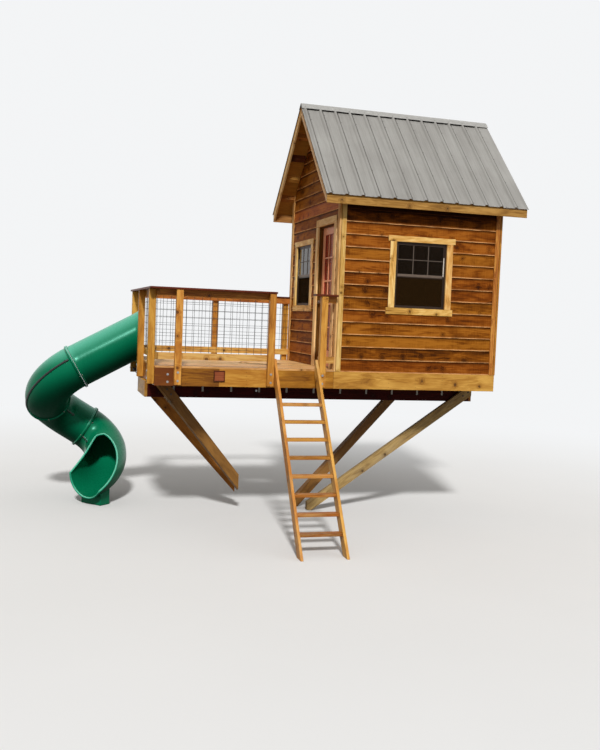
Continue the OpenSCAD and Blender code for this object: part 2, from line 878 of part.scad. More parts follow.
// A bend of the tube, with half of a joint ring at each end that has one
module bend(at, a, b, r, ring_start, ring_end) {
    turn = acos(a * b);
    ring_turn = ring_w / 2 / r * 180 / PI;
    bend_frame(at, a, b, r) difference() {
        union() {
            arc(r, 0, turn) circle(d = tube_od);
            if (ring_start) arc(r, 0, ring_turn) circle(d = ring_od);
            if (ring_end) arc(r, turn - ring_turn, turn) circle(d = ring_od);
        }
        arc(r, 0, turn) circle(d = tube_id);
    }
}

module slide_tube() {
    color(slide_green) difference() {
        pipe(slide_0, head_1, -tube_od, slide_run - fit_gap);
        box([-flange_t, -far, -far], [far, far, far]);
    }
}

module slide_upper_bend() {
    color(slide_green) bend(slide_1, head_1, head_2, upper_r, true, true);
}

module slide_lower_bend() {
    color(slide_green) bend(slide_2, head_2, head_3, lower_r, true, false);
}

module slide_short_tube() {
    color(slide_green) pipe(slide_3, head_3, fit_gap, short_run - fit_gap);
}

module slide_exit_bend() {
    color(slide_green) bend(slide_4, head_3, head_4, exit_r, true, false);
}

// The open chute: a bend whose top is cut off along a slant from the mouth to the lip
module slide_chute() {
    chute = slide_6 - slide_5;
    chute_turn = atan2(chute[1], chute[0]);
    chute_fall = atan2(mouth_up + lip_down - chute[2], norm([chute[0], chute[1]]));
    color(slide_green) difference() {
        bend(slide_5, head_4, head_5, chute_r, false, false);
        translate(slide_5 + [0, 0, mouth_up]) rotate([0, chute_fall, chute_turn])
            box([-far, -far, 0], [far, far, far]);
    }
}

// The moulded foot under the chute, hollowed to the tube's round
module slide_foot() {
    turn = acos(head_4 * head_5) * foot_share;
    out = cross(head_4, cross(head_4, head_5) / norm(cross(head_4, head_5)));
    at = slide_5 + out * chute_r * (cos(turn) - 1) + head_4 * chute_r * sin(turn);
    color(slide_green) difference() {
        translate([at[0], at[1], -deck_h]) rotate([0, 0, 90 + atan2(head_5[1], head_5[0])])
            translate([-foot_w / 2, -foot_l / 2, 0])
                cube([foot_w, foot_l, at[2] - foot_drop + deck_h]);
        bend_frame(slide_5, head_4, head_5, chute_r)
            arc(chute_r, 0, acos(head_4 * head_5)) circle(d = tube_od);
    }
}

placed() front_rim();
placed() rear_rim();
placed() end_rims();
placed() joists();
placed() main_beams();
placed() beam_end_boards();
placed() knee_braces();
placed() decking();
placed() cabin_floor();
placed() front_wall();
placed() rear_wall();
placed() right_wall();
placed() left_wall_front();
placed() left_wall_rear();
placed() left_gable();
placed() corner_boards();
placed() window_trims();
placed() window_sashes();
placed() window_glass();
placed() door_frame();
placed() door_leaf();
placed() door_glass();
placed() door_knobs();
placed() rafters();
placed() rake_frames();
placed() fascias();
placed() roof_boards();
placed() roof_metal();
placed() ridge_cap();
placed() ladder_sides();
placed() ladder_treads();
placed() railing_posts();
placed() rails();
placed() rail_caps();
placed() front_mesh();
placed() left_mesh();
placed() rear_mesh();
placed() slide_plate();
placed() slide_tube();
placed() slide_upper_bend();
placed() slide_lower_bend();
placed() slide_short_tube();
placed() slide_exit_bend();
placed() slide_chute();
placed() slide_foot();
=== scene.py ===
"""Looks of the timber tree house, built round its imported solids.

Lengths are in metres. Shapes are laid out from the deck's front left corner, at the walking
surface: X along the deck's front, Y towards the rear, Z up. settle() moves them to the frame.
"""

import math
import random

import bmesh
import bpy
import numpy as np
from mathutils import Matrix, Vector


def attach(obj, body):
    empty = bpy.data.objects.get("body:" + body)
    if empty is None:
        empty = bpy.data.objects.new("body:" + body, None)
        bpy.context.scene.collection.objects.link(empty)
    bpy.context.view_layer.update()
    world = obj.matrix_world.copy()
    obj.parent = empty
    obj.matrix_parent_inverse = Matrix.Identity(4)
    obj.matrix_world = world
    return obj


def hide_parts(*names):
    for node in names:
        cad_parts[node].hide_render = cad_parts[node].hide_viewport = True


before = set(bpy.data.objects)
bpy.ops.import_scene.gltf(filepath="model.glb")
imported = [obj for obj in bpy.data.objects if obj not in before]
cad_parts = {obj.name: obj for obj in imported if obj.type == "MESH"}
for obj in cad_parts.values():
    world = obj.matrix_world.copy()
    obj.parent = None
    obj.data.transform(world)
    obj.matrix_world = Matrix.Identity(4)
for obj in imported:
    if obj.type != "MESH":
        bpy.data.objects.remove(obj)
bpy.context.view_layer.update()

# The frame's origin, seen from the deck's corner
DECK_CORNER = Vector((1.690, 0.837, -0.370))

# Sizes of the solids
DECK_L, DECK_W, DECK_H = 4.877, 2.438, 2.180
MID_Y = DECK_W / 2
JOIST_TOP, JOIST_LOW, JOIST_STEP = -0.025, -0.260, 0.4064
BEAM_Y0, STOCK = 0.761, 0.038
TRUNK_X, TRUNK_R = 1.690, 0.340
CAB_X0, CAB_X1, CAB_MID = 2.439, 4.877, 3.658
CLAD_T, CLAD_TAPER, CLAD_STEP = 0.020, 0.012, 0.171
SLAB_X0, INNER_X0, INNER_Y = 2.459, 2.554, 0.115
TRIM_W, TRIM_PROUD = 0.092, 0.006
WIN_W, WIN_H, WIN_Z = 0.762, 0.914, 0.886
WIN_HEAD, WIN_EAR, SIDE_WIN_Y = 0.080, 0.032, 1.715
DOOR_Y, DOOR_W, DOOR_H = 0.232, 0.760, 2.030
EAVE_Z, EAVE_OUT = 2.363, 0.209
ROOF_X0, ROOF_L = 2.158, 3.000
RIB_FIRST, RIB_STEP, RIB_COUNT, RIB_H = 0.052, 0.2286, 13, 0.019
SHEATH_T, RAFTER_D = 0.012, 0.089
RAIL_TOP = 1.020
LADDER_SLOPE = math.radians(54.7)
TUBE_R, TUBE_WALL = 0.315, 0.009
SLIDE_X, SLIDE_Y, SLIDE_Z = -0.014, 1.852, 0.345
LEAF_X0, LEAF_X1 = 2.510, 2.554
LEFT, RIGHT, FRONT, REAR, UP = (-1, 0, 0), (1, 0, 0), (0, -1, 0), (0, 1, 0), (0, 0, 1)
DIAGONAL = math.sqrt(0.5)
WINDOWS = (("front", CAB_MID), ("rear", CAB_MID), ("left", SIDE_WIN_Y), ("right", MID_Y))


def roof_z(y):
    """Height of the roof boards' upper face over a point of the front half."""
    return EAVE_Z + y + EAVE_OUT


def drop(thickness):
    """Drop straight down through a layer of the 45 degree roof."""
    return thickness * math.sqrt(2)


# Colours

def tint(code, factor=1.0):
    """Linear colour from a code such as 7c421a, made darker or lighter by a factor."""
    parts = [int(code[i:i + 2], 16) / 255 for i in (0, 2, 4)]
    parts = [c / 12.92 if c <= 0.04045 else ((c + 0.055) / 1.055) ** 2.4 for c in parts]
    return tuple(min(1.0, c * factor) for c in parts) + (1.0,)


class Nodes:
    """A node tree, with short calls that add a node, plug its inputs and give its outputs."""

    prefix = "ShaderNode"

    def __init__(self, tree):
        self.tree = tree

    def plug(self, socket, value):
        if isinstance(value, bpy.types.NodeSocket):
            self.tree.links.new(value, socket)
        else:
            socket.default_value = value

    def node(self, kind, inputs=None, **settings):
        made = self.tree.nodes.new(kind if "Node" in kind else self.prefix + kind)
        for key, value in settings.items():
            setattr(made, key, value)
        for key, value in (inputs or {}).items():
            self.plug(made.inputs[key], value)
        return made.outputs

    def math(self, operation, *values):
        return self.node("ShaderNodeMath", dict(enumerate(values)), operation=operation)[0]

    def times(self, a, b):
        return self.math("MULTIPLY", a, b)

    def minus(self, a, b):
        return self.math("SUBTRACT", a, b)

    def fit(self, a, b, c):
        """a times b, plus c."""
        return self.math("MULTIPLY_ADD", a, b, c)

    def seen(self):
        """One for what is seen straight, in a mirror or through glass."""
        rays = self.node("LightPath")
        straight = self.math("MAXIMUM", rays["Is Camera Ray"], rays["Is Glossy Ray"])
        return self.math("MAXIMUM", straight, rays["Is Transmission Ray"])


class Paint(Nodes):
    """One material, with short names for the nodes that colour it."""

    def __init__(self, name):
        self.material = bpy.data.materials.new(name)
        self.material.use_nodes = True
        super().__init__(self.material.node_tree)
        self.shader = self.tree.nodes["Principled BSDF"]

    def where(self):
        return self.node("TexCoord")["Object"]

    def stored(self, name):
        return self.node("Attribute", attribute_name=name)["Fac"]

    def stretch(self, vector, scale, shift=(0, 0, 0)):
        return self.node("Mapping", {"Vector": vector, "Scale": scale, "Location": shift})[0]

    def split(self, vector):
        return self.node("SeparateXYZ", {"Vector": vector})

    def span(self, value, low, high, to_low=0.0, to_high=1.0, smooth=False):
        return self.node("MapRange", {"Value": value, "From Min": low, "From Max": high,
                                      "To Min": to_low, "To Max": to_high},
                         interpolation_type="SMOOTHSTEP" if smooth else "LINEAR")[0]

    def noise(self, vector, scale=1.0, detail=3.0, rough=0.5, warp=0.0):
        return self.node("TexNoise", {"Vector": vector, "Scale": scale, "Detail": detail,
                                      "Roughness": rough, "Distortion": warp})[0]

    def ramp(self, share, *stops):
        """Colours by a share, from stops of a place and a colour code."""
        made = self.node("ValToRGB", {"Fac": share})
        elements = made[0].node.color_ramp.elements
        while len(elements) < len(stops):
            elements.new(0.5)
        for element, (at, code) in zip(elements, stops):
            element.position = at
            element.color = tint(code)
        return made[0]

    def blend(self, share, low, high, way="MIX"):
        low, high = (tint(c) if isinstance(c, str) else c for c in (low, high))
        return self.node("Mix", {0: share, 6: low, 7: high}, data_type="RGBA",
                         blend_type=way)[2]

    def bump(self, height, depth, strength=1.0, under=None):
        inputs = {"Height": height, "Distance": depth, "Strength": strength}
        if under is not None:
            inputs["Normal"] = under
        return self.node("Bump", inputs)[0]

    def done(self, colour, rough, normal=None, **fixed):
        self.plug(self.shader.inputs["Base Color"], colour)
        self.plug(self.shader.inputs["Roughness"], rough)
        if normal is not None:
            self.plug(self.shader.inputs["Normal"], normal)
        for key, value in fixed.items():
            self.shader.inputs[key.replace("_", " ")].default_value = value
        return self.material


def timber(name, shades, knots, blotches, rough, tones, lap=None, worn=None, knot_size=1.0,
           hues=0.009, sawn=0.0, sheen=0.2):
    """Sawn and stained lumber. Each board has its own grain, knots, blotches and tone."""
    pale, mid, deep = shades.split()
    p = Paint(name)
    grain = p.node("Attribute", attribute_name="grain")["Vector"]
    along, across, through = p.split(grain)
    tone, end = p.stored("tone"), p.stored("end")

    # A knot runs through the thickness of its board
    cell = 4.6
    cells = p.node("TexVoronoi", {"Vector": grain, "Scale": cell}, feature="F1",
                   voronoi_dimensions="2D")
    ragged = p.noise(p.stretch(grain, (40, 90, 20)))
    away = p.times(cells["Distance"], 1 / cell)
    away = p.fit(p.minus(ragged, 0.5), 0.014 * knot_size, away)
    pick = p.node("SeparateColor", {"Color": cells["Color"]})
    picked = p.math("GREATER_THAN", knots * 0.5, pick[1])
    radius = p.fit(pick[0], 0.013 * knot_size, 0.006 * knot_size)
    inside = p.math("DIVIDE", away, radius)
    knot = p.times(p.span(inside, 1.15, 0.7, smooth=True), picked)
    halo = p.times(p.span(away, 0.07, 0.0, smooth=True), picked)

    # Year rings round a heart beside the board, bent round the knots
    wander = p.noise(p.stretch(grain, (1.3, 8, 8)), detail=2.0)
    heart = p.math("SQRT", p.math("ADD", p.times(across, across), p.times(through, through)))
    path = p.fit(along, 0.008, p.fit(halo, 0.022, p.fit(wander, 0.045, heart)))
    late = p.math("POWER", p.fit(p.math("SINE", p.times(path, 700.0)), 0.5, 0.5), 1.6)
    fibre = p.noise(p.stretch(grain, (7, 230, 230)), detail=2.0)
    blotch = p.noise(p.stretch(grain, (2.2, 9, 9)), detail=4.0, rough=0.62, warp=0.6)
    share = p.fit(late, 0.24, 0.20)
    for value, weight in ((fibre, 0.5), (blotch, 1.9 * blotches), (tone, tones)):
        share = p.fit(p.minus(value, 0.5), weight, share)
    share = p.fit(halo, 0.22, share)
    if sawn:
        marks = p.noise(p.stretch(grain, (190, 5, 5)), detail=2.0, rough=0.7)
        share = p.fit(p.minus(marks, 0.5), sawn, share)
    colour = p.ramp(share, (0.0, pale), (0.45, mid), (0.95, deep))
    shift = p.node("HueSaturation", {"Color": colour, "Saturation": 1.0})[0]
    p.plug(shift.node.inputs["Hue"], p.span(p.math("FRACT", p.times(tone, 7.31)), 0, 1,
                                            0.5 - hues, 0.5 + hues))
    colour = shift
    # Siding: along each course's foot a pale lap colour, partly a worn and unstained edge and
    # partly a painted highlight where the edge catches the light; at each course's top, under the
    # course above, painted shade multiplies in the deep colour
    if lap is not None:
        height = p.stored("lap")
        chips = p.noise(p.stretch(grain, (5, 40, 40)), rough=0.7)
        rim = p.span(p.fit(chips, 0.16, height), 0.190, 0.120)
        rim = p.times(rim, p.span(chips, 0.40, 0.60, 0.20, 1.0))
        colour = p.blend(rim, colour, lap)
        shade = p.span(height, 0.76, 0.98)
        colour = p.blend(p.times(shade, 0.8), colour, deep, "MULTIPLY")
    if worn is not None:
        fade = p.noise(p.stretch(grain, (1.1, 5, 5), (3, 1, 2)), detail=5.0, rough=0.7)
        colour = p.blend(p.span(fade, 0.52, 0.72, 0.0, 0.7), colour, worn)
    core = p.span(inside, 0.95, 0.35, 0.9, 0.6)
    colour = p.blend(p.times(halo, 0.35), colour, deep)
    colour = p.blend(p.times(knot, core), colour, "32190a")
    colour = p.blend(p.times(end, 0.45), colour, deep)
    height = p.fit(late, 0.5, p.times(fibre, 0.9))
    height = p.minus(height, p.times(knot, 0.6))
    gloss = p.fit(fibre, 0.22, rough - 0.11)
    gloss = p.fit(knot, -0.15, gloss)
    if sawn:
        height = p.fit(marks, 0.8, height)
    return p.done(colour, gloss, p.bump(height, 0.0012, 0.7), Specular_IOR_Level=sheen)


def ply(name, pale, deep):
    """Sheathing panels, with a soft figure."""
    p = Paint(name)
    spot = p.where()
    figure = p.noise(p.stretch(spot, (2, 2, 16)), detail=4.0, rough=0.6, warp=1.0)
    fibre = p.noise(p.stretch(spot, (90, 90, 8)), detail=2.0)
    colour = p.ramp(p.fit(fibre, 0.3, figure), (0.35, pale), (0.85, deep))
    return p.done(colour, p.span(fibre, 0, 1, 0.6, 0.8), p.bump(fibre, 0.001, 0.5))


def roof_paint():
    """Grey painted steel with faint streaks."""
    p = Paint("painted_roof_steel")
    spot = p.where()
    streak = p.noise(p.stretch(spot, (14, 1.2, 1.2)), rough=0.6)
    cloud = p.noise(spot, 1.6, detail=4.0, rough=0.55)
    speck = p.noise(spot, 220, detail=1.0)
    share = p.fit(streak, 0.5, p.times(cloud, 0.5))
    colour = p.ramp(share, (0.3, "87847f"), (0.7, "a19f9a"))
    colour = p.blend(p.span(speck, 0.66, 0.74, 0.0, 0.35), colour, "746f69")
    # Painted shadow: a dark line along one foot of each rib, as if the rib shaded it,
    # stronger along the streaks
    half = RIB_STEP / 2
    x = p.minus(p.split(spot)[0], ROOF_X0 + RIB_FIRST + 0.029 - half - DECK_CORNER.x)
    gap = p.math("ABSOLUTE", p.minus(p.math("FLOORED_MODULO", x, RIB_STEP), half))
    painted_rib_shadow = p.times(p.span(gap, 0.013, 0.004), p.span(streak, 0.25, 0.6, 0.6, 1.0))
    colour = p.blend(painted_rib_shadow, colour, "3b3732")
    return p.done(colour, p.span(cloud, 0.3, 0.7, 0.48, 0.60), p.bump(cloud, 0.002, 0.25),
                  Metallic=0.1, Specular_IOR_Level=0.2)


def plastic(name, base, rough, painted_top_light):
    """Moulded plastic, its gloss slightly uneven, with painted light above and painted shade
    below.
    """
    spread = 0.1
    p = Paint(name)
    spot = p.where()
    cloud = p.noise(spot, 3.0)
    orange_peel = p.noise(spot, 160.0, detail=1.0)
    scuff = p.noise(p.stretch(spot, (30, 30, 6)), detail=4.0, rough=0.75)
    colour = p.blend(cloud, tint(base, 0.86), tint(base, 1.12))
    colour = p.blend(p.span(scuff, 0.70, 0.84, 0.0, 0.14), colour, "7fb9a2")
    # Painted shade: faces turned down take a much deeper green. Painted light: faces turned up
    # take the paler colour given. Reflections are tinted green and weaker on the underside.
    upward = p.split(p.node("NewGeometry")["Normal"])[2]
    colour = p.blend(p.span(upward, 0.15, -0.70, 0.0, 0.95, smooth=True), colour,
                     tint(base, 0.22))
    if painted_top_light:
        colour = p.blend(p.span(upward, 0.25, 0.95, 0.0, 0.74, smooth=True), colour, painted_top_light)
    p.plug(p.shader.inputs["Specular IOR Level"], p.span(upward, -0.5, 0.3, 0.06, 0.26))
    gloss = p.span(scuff, 0.3, 0.8, rough - spread / 2, rough + spread)
    gloss = p.math("ADD", gloss, p.span(upward, 0.1, -0.6, 0.0, 0.35))
    return p.done(colour, gloss, p.bump(orange_peel, 0.0004, 0.35, p.bump(cloud, 0.006, 0.25)),
                  Specular_Tint=(0.35, 0.95, 0.75, 1.0))


def coated(name, base, rough=0.4, metallic=0.0, wear=None, sheen=0.5, alpha=1.0):
    """Painted or bare metal with small dents, dust and rubbed spots."""
    p = Paint(name)
    spot = p.where()
    cloud = p.noise(spot, 24.0, detail=4.0, rough=0.65)
    fine = p.noise(spot, 380.0, detail=1.0)
    colour = p.blend(p.span(cloud, 0.3, 0.7), tint(base, 0.82), base)
    if wear is not None:
        colour = p.blend(p.span(cloud, 0.62, 0.72, 0.0, 0.8), colour, wear)
    return p.done(colour, p.span(cloud, 0.3, 0.7, rough - 0.07, rough + 0.09),
                  p.bump(fine, 0.0003, 0.4), Metallic=metallic, Specular_IOR_Level=sheen,
                  Alpha=alpha)


def pane(name, base, rough=0.02, bend=1.45, shine="7c7c7c", clear=0.92):
    """Glass seen against a dark room. A dark base colour is painted shade standing for the room.
    shine is the colour of what it mirrors, and clear the share of light that it lets through.
    A coloured base or shine is a painted reflection."""
    p = Paint(name)
    cloud = p.noise(p.where(), 5.0)
    colour = p.blend(cloud, base, tint(base, 1.3))
    return p.done(colour, p.span(cloud, 0.3, 0.7, rough, rough + 0.03), p.bump(cloud, 0.004, 0.12),
                  Transmission_Weight=clear, IOR=bend, Specular_Tint=tint(shine))


# After the pale, middle and deep shade: knots, blotches, roughness and spread of tones
SIDING = timber("siding_red_stain", "a3611c 7b4009 371702", 0.35, 1.15, 0.6, 0.5, lap="f0b274",
                hues=0.005, sawn=0.7, sheen=0.05, knot_size=0.6)
# A brighter copy of the siding stain: painted sunlight on one course of the left wall
SIDING_SUNLIT = timber("siding_bright_stain", "cf7434 b4521f 74300f", 0.4, 0.7, 0.6, 0.4,
                       lap="e0a05a", sawn=0.5, sheen=0.12)
# A much darker copy of the siding stain: painted shadow of the eave on the top course
SIDING_SHADE = timber("siding_under_eave", "48200a 2b1005 140602", 0.2, 0.8, 0.7, 0.4,
                      lap="5a3216", sawn=0.4, sheen=0.04)
GOLD = timber("oiled_pine", "cf9440 ad6c27 6e3c10", 0.6, 0.8, 0.46, 0.5)
PALE = timber("fresh_pine", "d9ad62 b9833c 744718", 0.9, 1.1, 0.46, 0.4, knot_size=1.4)
# A dark red-brown stain, made darker still: painted shade under the deck
BEAM = timber("beam_stain", "45120e 2c0a08 160403", 0.3, 0.5, 0.6, 0.4, sheen=0.06)
# The brace lumber in three copies of painted light and shade: darker for braces in shade, paler
# for the sunlit front right one, warmer for the lit rear left one
BRACE = timber("brace_stain", "9c6e36 785226 442a10", 0.45, 0.7, 0.55, 0.5, worn="8c6a3d")
BRACE_SUN = timber("weathered_brace", "bd9d68 99784a 553c1e", 0.7, 1.1, 0.6, 0.4, worn="ac9672")
BRACE_WARM = timber("warm_brace", "c47c36 a2602a 5c3010", 0.5, 0.8, 0.6, 0.4, sheen=0.1)
CAP = timber("cap_stain", "6a3218 45200f 250e06", 0.35, 0.6, 0.45, 0.5, sheen=0.12)
DECKING = timber("deck_boards", "f0c488 dca866 94642e", 0.6, 0.7, 0.5, 0.6, worn="dcc09a")
LADDER = timber("ladder_pine", "dba350 b5752e 7c481a", 0.5, 0.8, 0.45, 0.5, worn="d8bb7c")
TREAD = timber("tread_lumber", "c98f40 a56826 683a12", 0.5, 0.7, 0.5, 0.6, worn="c9a468")
POST = timber("post_lumber", "dda54c b97a2c 784214", 0.7, 0.8, 0.46, 0.5, knot_size=1.3)
JOIST = timber("joist_stain", "6e4322 512d15 2f180a", 0.4, 0.5, 0.6, 0.6)
SOFFIT = timber("soffit_boards", "d29748 b07633 784a1a", 0.3, 0.4, 0.6, 0.5)
# A dark copy of the soffit lumber: painted shade on one level of lookout blocks
LOOKOUT_SHADE = timber("lookout_blocks", "6a3a1c 4a2410 281206", 0.3, 0.5, 0.6, 0.4)
FASCIA = timber("fascia_pine", "bd8a4a 98682f 60390f", 0.3, 0.9, 0.55, 0.4, knot_size=0.8)
BARGE = timber("barge_boards", "f0c890 d4a062 906030", 0.6, 1.0, 0.6, 0.5)
JOIST_PALE = timber("rafter_lumber", "c99a5d a87638 754a1e", 0.45, 0.4, 0.6, 0.6)
PLAQUE = timber("plaque_wood", "a45a34 8a4427 5e2a16", 0.1, 0.4, 0.5, 0.2)
RIM_FRONT = timber("rim_boards", "cf9640 a8691f 6a360a", 0.5, 0.7, 0.45, 0.9)
RIM_PALE = timber("rim_under_cabin", "d3a04c b27c30 70400f", 0.95, 1.0, 0.45, 0.5, knot_size=1.5)
CASING = timber("bright_casing", "f6cf88 dca355 8a5a20", 0.8, 1.25, 0.45, 0.4, knot_size=1.4,
                sheen=0.12)
# A paler copy of the corner board lumber: painted light on the corner boards by the deck
CORNER_LIT = timber("corner_board_pale", "e2bb78 c8964e 865620", 0.7, 1.1, 0.55, 0.4, sheen=0.08)
# A darker copy of the door's lumber: painted shade in the door's recess
SHADED_LINING = timber("door_lining", "94683a 684318 351f0b", 0.3, 0.6, 0.6, 0.5, sheen=0.05)
# A paler copy of the casing lumber: painted light on the door's casing
DOOR_CASING_LIT = timber("door_casing", "fbd698 e0ae6c 94632e", 0.6, 0.9, 0.55, 0.5, sheen=0.06)
INSIDE = ply("inside_panels", "7d5730", "52361b")
FLOOR_PLY = ply("floor_panels", "b9935c", "8a6537")
ROOF = roof_paint()
GREEN = plastic("slide_green", "006a48", 0.25, "6cc9ab")
GREEN_CHUTE = plastic("slide_green_inside", "046e4a", 0.27, None)
GREEN_RIM = plastic("slide_green_rim", "2f9f7c", 0.34, "8fd8bf")
BRONZE = coated("bronze_frame_paint", "33261d", sheen=0.18)
BAR = coated("lite_bar_paint", "5a4f46", rough=0.5, sheen=0.15)
# A paler copy of the frame paint: painted light caught by the meeting rails
RAIL = coated("meeting_rail_paint", "6e5f53", sheen=0.2)
# Near white: a painted highlight on the track strip
TRACK_HIGHLIGHT = coated("balance_track", "e0d8cc", sheen=0.3)
SCREEN = coated("insect_screen", "2c1d0c", rough=0.9, sheen=0.02, alpha=0.7)
# Dark brown glass: painted shade standing in for the dark room behind the windows
GLASS = pane("window_pane", "544230", shine="444444")
GLASS_LOW = pane("window_pane_behind_screen", "5c4124", rough=0.05, bend=1.08)
# Coral base and shine: a painted reflection of the coral door leaf in its glass
DOOR_GLASS = pane("door_pane", "c87252", rough=0.2, bend=1.1, shine="c87a5c", clear=0.7)
# A paler coral than the door's own: painted light against the shade of its recess
CORAL = coated("coral_door_paint", "ffb084", rough=0.42, sheen=0.25)
# A deeper red: painted shade in the recess at each pane's edge
CORAL_SHADE = coated("coral_door_groove", "a83a2c", rough=0.45, sheen=0.25)
ZINC = coated("galvanised_steel", "a9acae", rough=0.42, metallic=0.75, wear="83878a")
DULL_ZINC = coated("dull_zinc", "86827b", rough=0.55, metallic=0.5, wear="6a655e")
RUSTY = coated("weathered_zinc", "5c5044", rough=0.65, metallic=0.4, wear="4a3a2c")
KNOB = coated("bronze_knob", "5e5044", rough=0.36, metallic=0.85)
BLACK = coated("black_coated_wire", "1b1b1b", rough=0.45)
BLACK_STEEL = coated("black_bracket", "1d1d1f", rough=0.5, metallic=0.3)
ROOF_DARK = coated("screw_washer", "5d5a56", rough=0.6)
# Near black: real foam, and painted shade for the gaps under the ridge cap
FOAM_AND_GAP_SHADE = coated("closure_foam", "12100e", rough=0.9, sheen=0.02)
ROOF_CAP = coated("ridge_cap_steel", "a9a7a2", rough=0.36, metallic=0.2, wear="c9c7c2")


# Making pieces

BOX_FACES = [(0, 2, 3, 1), (4, 5, 7, 6), (0, 1, 5, 4), (2, 6, 7, 3), (0, 4, 6, 2), (1, 3, 7, 5)]


def put(name, data):
    made = bpy.data.objects.new(name, data)
    bpy.context.scene.collection.objects.link(made)
    return made


def add_piece(name, mesh, body="house", replaces=()):
    piece = put(name, mesh)
    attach(piece, body)
    if replaces:
        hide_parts(*replaces)
    return piece


def settle(name, points, faces, finish, replaces=(), smooth=False):
    """Makes one piece from points laid out from the deck's corner."""
    mesh = bpy.data.meshes.new(name)
    mesh.from_pydata([tuple(Vector(p) - DECK_CORNER) for p in points], [], faces)
    mesh.materials.append(finish)
    mesh.polygons.foreach_set("use_smooth", [smooth] * len(mesh.polygons))
    mesh.validate()
    mesh.update()
    return add_piece(name, mesh, replaces=replaces)


def piece_of(name, mesh, body="house", replaces=(), finish=None):
    """A piece from a mesh laid out from the deck's corner."""
    mesh.transform(Matrix.Translation(-DECK_CORNER))
    mesh.name = name
    if finish is not None:
        mesh.materials.clear()
        mesh.materials.append(finish)
    return add_piece(name, mesh, body, replaces)


def store(mesh, name, kind, values, domain="POINT"):
    layer = mesh.attributes.new(name, kind, domain)
    layer.data.foreach_set("vector" if kind == "FLOAT_VECTOR" else "value",
                           np.asarray(values, np.float32).ravel())


def ordered(a, b):
    """Low and high corner of the box between two points."""
    return [min(pair) for pair in zip(a, b)], [max(pair) for pair in zip(a, b)]


def box_corners(low, high):
    return [(x, y, z) for x in (low[0], high[0]) for y in (low[1], high[1])
            for z in (low[2], high[2])]


def solid_of(points, faces):
    """A bmesh of a closed solid, with its faces turned outwards."""
    bm = bmesh.new()
    corners = [bm.verts.new(p) for p in points]
    for face in faces:
        bm.faces.new([corners[i] for i in face])
    bmesh.ops.recalc_face_normals(bm, faces=bm.faces)
    return bm


def ease_edges(bm, width):
    sharp = [e for e in bm.edges if len(e.link_faces) == 2 and e.calc_face_angle(0) > 0.5]
    bmesh.ops.bevel(bm, geom=sharp, offset=width, segments=2, profile=0.5, affect="EDGES")


def longest_way(solid):
    longest = max(solid.edges, key=lambda e: e.calc_length())
    return longest.verts[1].co - longest.verts[0].co


def middle_of(solid):
    return sum((v.co for v in solid.verts), Vector()) / len(solid.verts)


class Boards:
    """Gathers boards into one piece. Every board has eased edges, its own grain and tone."""

    def __init__(self, seed):
        self.draw = random.Random(seed)
        self.points, self.faces = [], []
        self.grain, self.tone, self.end, self.lap = [], [], [], []

    def box(self, low, high, along=None, ease=0.0025, tone=None):
        if along is None:
            size = Vector(high) - Vector(low)
            along = Matrix.Identity(3)[max(range(3), key=lambda i: size[i])]
        self.solid(box_corners(low, high), BOX_FACES, along, ease, tone)

    def prism(self, outline, near, far, along, ease=0.0025, tone=None):
        """An outline of (y, z), drawn from near to far along X."""
        count = len(outline)
        points = [(x, y, z) for x in (near, far) for y, z in outline]
        faces = [tuple(range(count))[::-1], tuple(range(count, 2 * count))]
        faces += [(i, (i + 1) % count, (i + 1) % count + count, i + count)
                  for i in range(count)]
        self.solid(points, faces, along, ease, tone)

    def solid(self, points, faces, along, ease=0.0025, tone=None):
        self.take(solid_of(points, faces), along, ease, tone)

    def take(self, bm, along, ease, tone=None, lap=None):
        """Adds the faces of bm as one board and frees it."""
        if ease:
            ease_edges(bm, ease)
        bm.verts.index_update()
        bm.normal_update()
        u = Vector(along).normalized()
        side = Vector((0, 0, 1)) if abs(u.z) < 0.9 else Vector((1, 0, 0))
        v = u.cross(side).normalized()
        w = u.cross(v)
        spans = [[x.co.dot(axis) for x in bm.verts] for axis in (v, w)]
        if max(spans[0]) - min(spans[0]) < max(spans[1]) - min(spans[1]):
            v, w = w, v
        centre = middle_of(bm)
        draw = self.draw
        shift = (draw.uniform(0, 60), draw.uniform(-0.05, 0.05),
                 draw.choice((-1, 1)) * draw.uniform(0.03, 0.11))
        tone = draw.random() if tone is None else tone + draw.uniform(-0.06, 0.06)
        base = len(self.points)
        for x in bm.verts:
            offset = x.co - centre
            self.points.append(tuple(x.co))
            self.grain.append([offset.dot(axis) + s for axis, s in zip((u, v, w), shift)])
            self.tone.append(tone)
            self.lap.append(1.0 if lap is None else lap(x.co))
        for face in bm.faces:
            self.faces.append([base + x.index for x in face.verts])
            self.end.append(1.0 if abs(face.normal.dot(u)) > 0.75 else 0.0)
        bm.free()

    def piece(self, name, finish, slot, replaces=()):
        piece = settle(name, self.points, self.faces, finish, replaces)
        for layer, values in (("tone", self.tone), ("lap", self.lap)):
            store(piece.data, layer, "FLOAT", values)
        store(piece.data, "grain", "FLOAT_VECTOR", self.grain)
        store(piece.data, "end", "FLOAT", self.end, "FACE")


class Metalwork:
    """Bars and plates gathered into one piece, with rounded edges."""

    def __init__(self):
        self.bm = bmesh.new()

    def box(self, low, high, ease=0.0015):
        self.add(solid_of(box_corners(low, high), BOX_FACES), ease)

    def add(self, single, ease):
        bmesh.ops.recalc_face_normals(single, faces=single.faces)
        if ease:
            ease_edges(single, ease)
        mesh = bpy.data.meshes.new("part")
        single.to_mesh(mesh)
        single.free()
        self.bm.from_mesh(mesh)
        bpy.data.meshes.remove(mesh)

    def piece(self, name, finish, slot=None, replaces=(), body="house"):
        mesh = bpy.data.meshes.new(name)
        self.bm.to_mesh(mesh)
        self.bm.free()
        mesh.polygons.foreach_set("use_smooth", [False] * len(mesh.polygons))
        piece_of(name, mesh, body, replaces, finish)


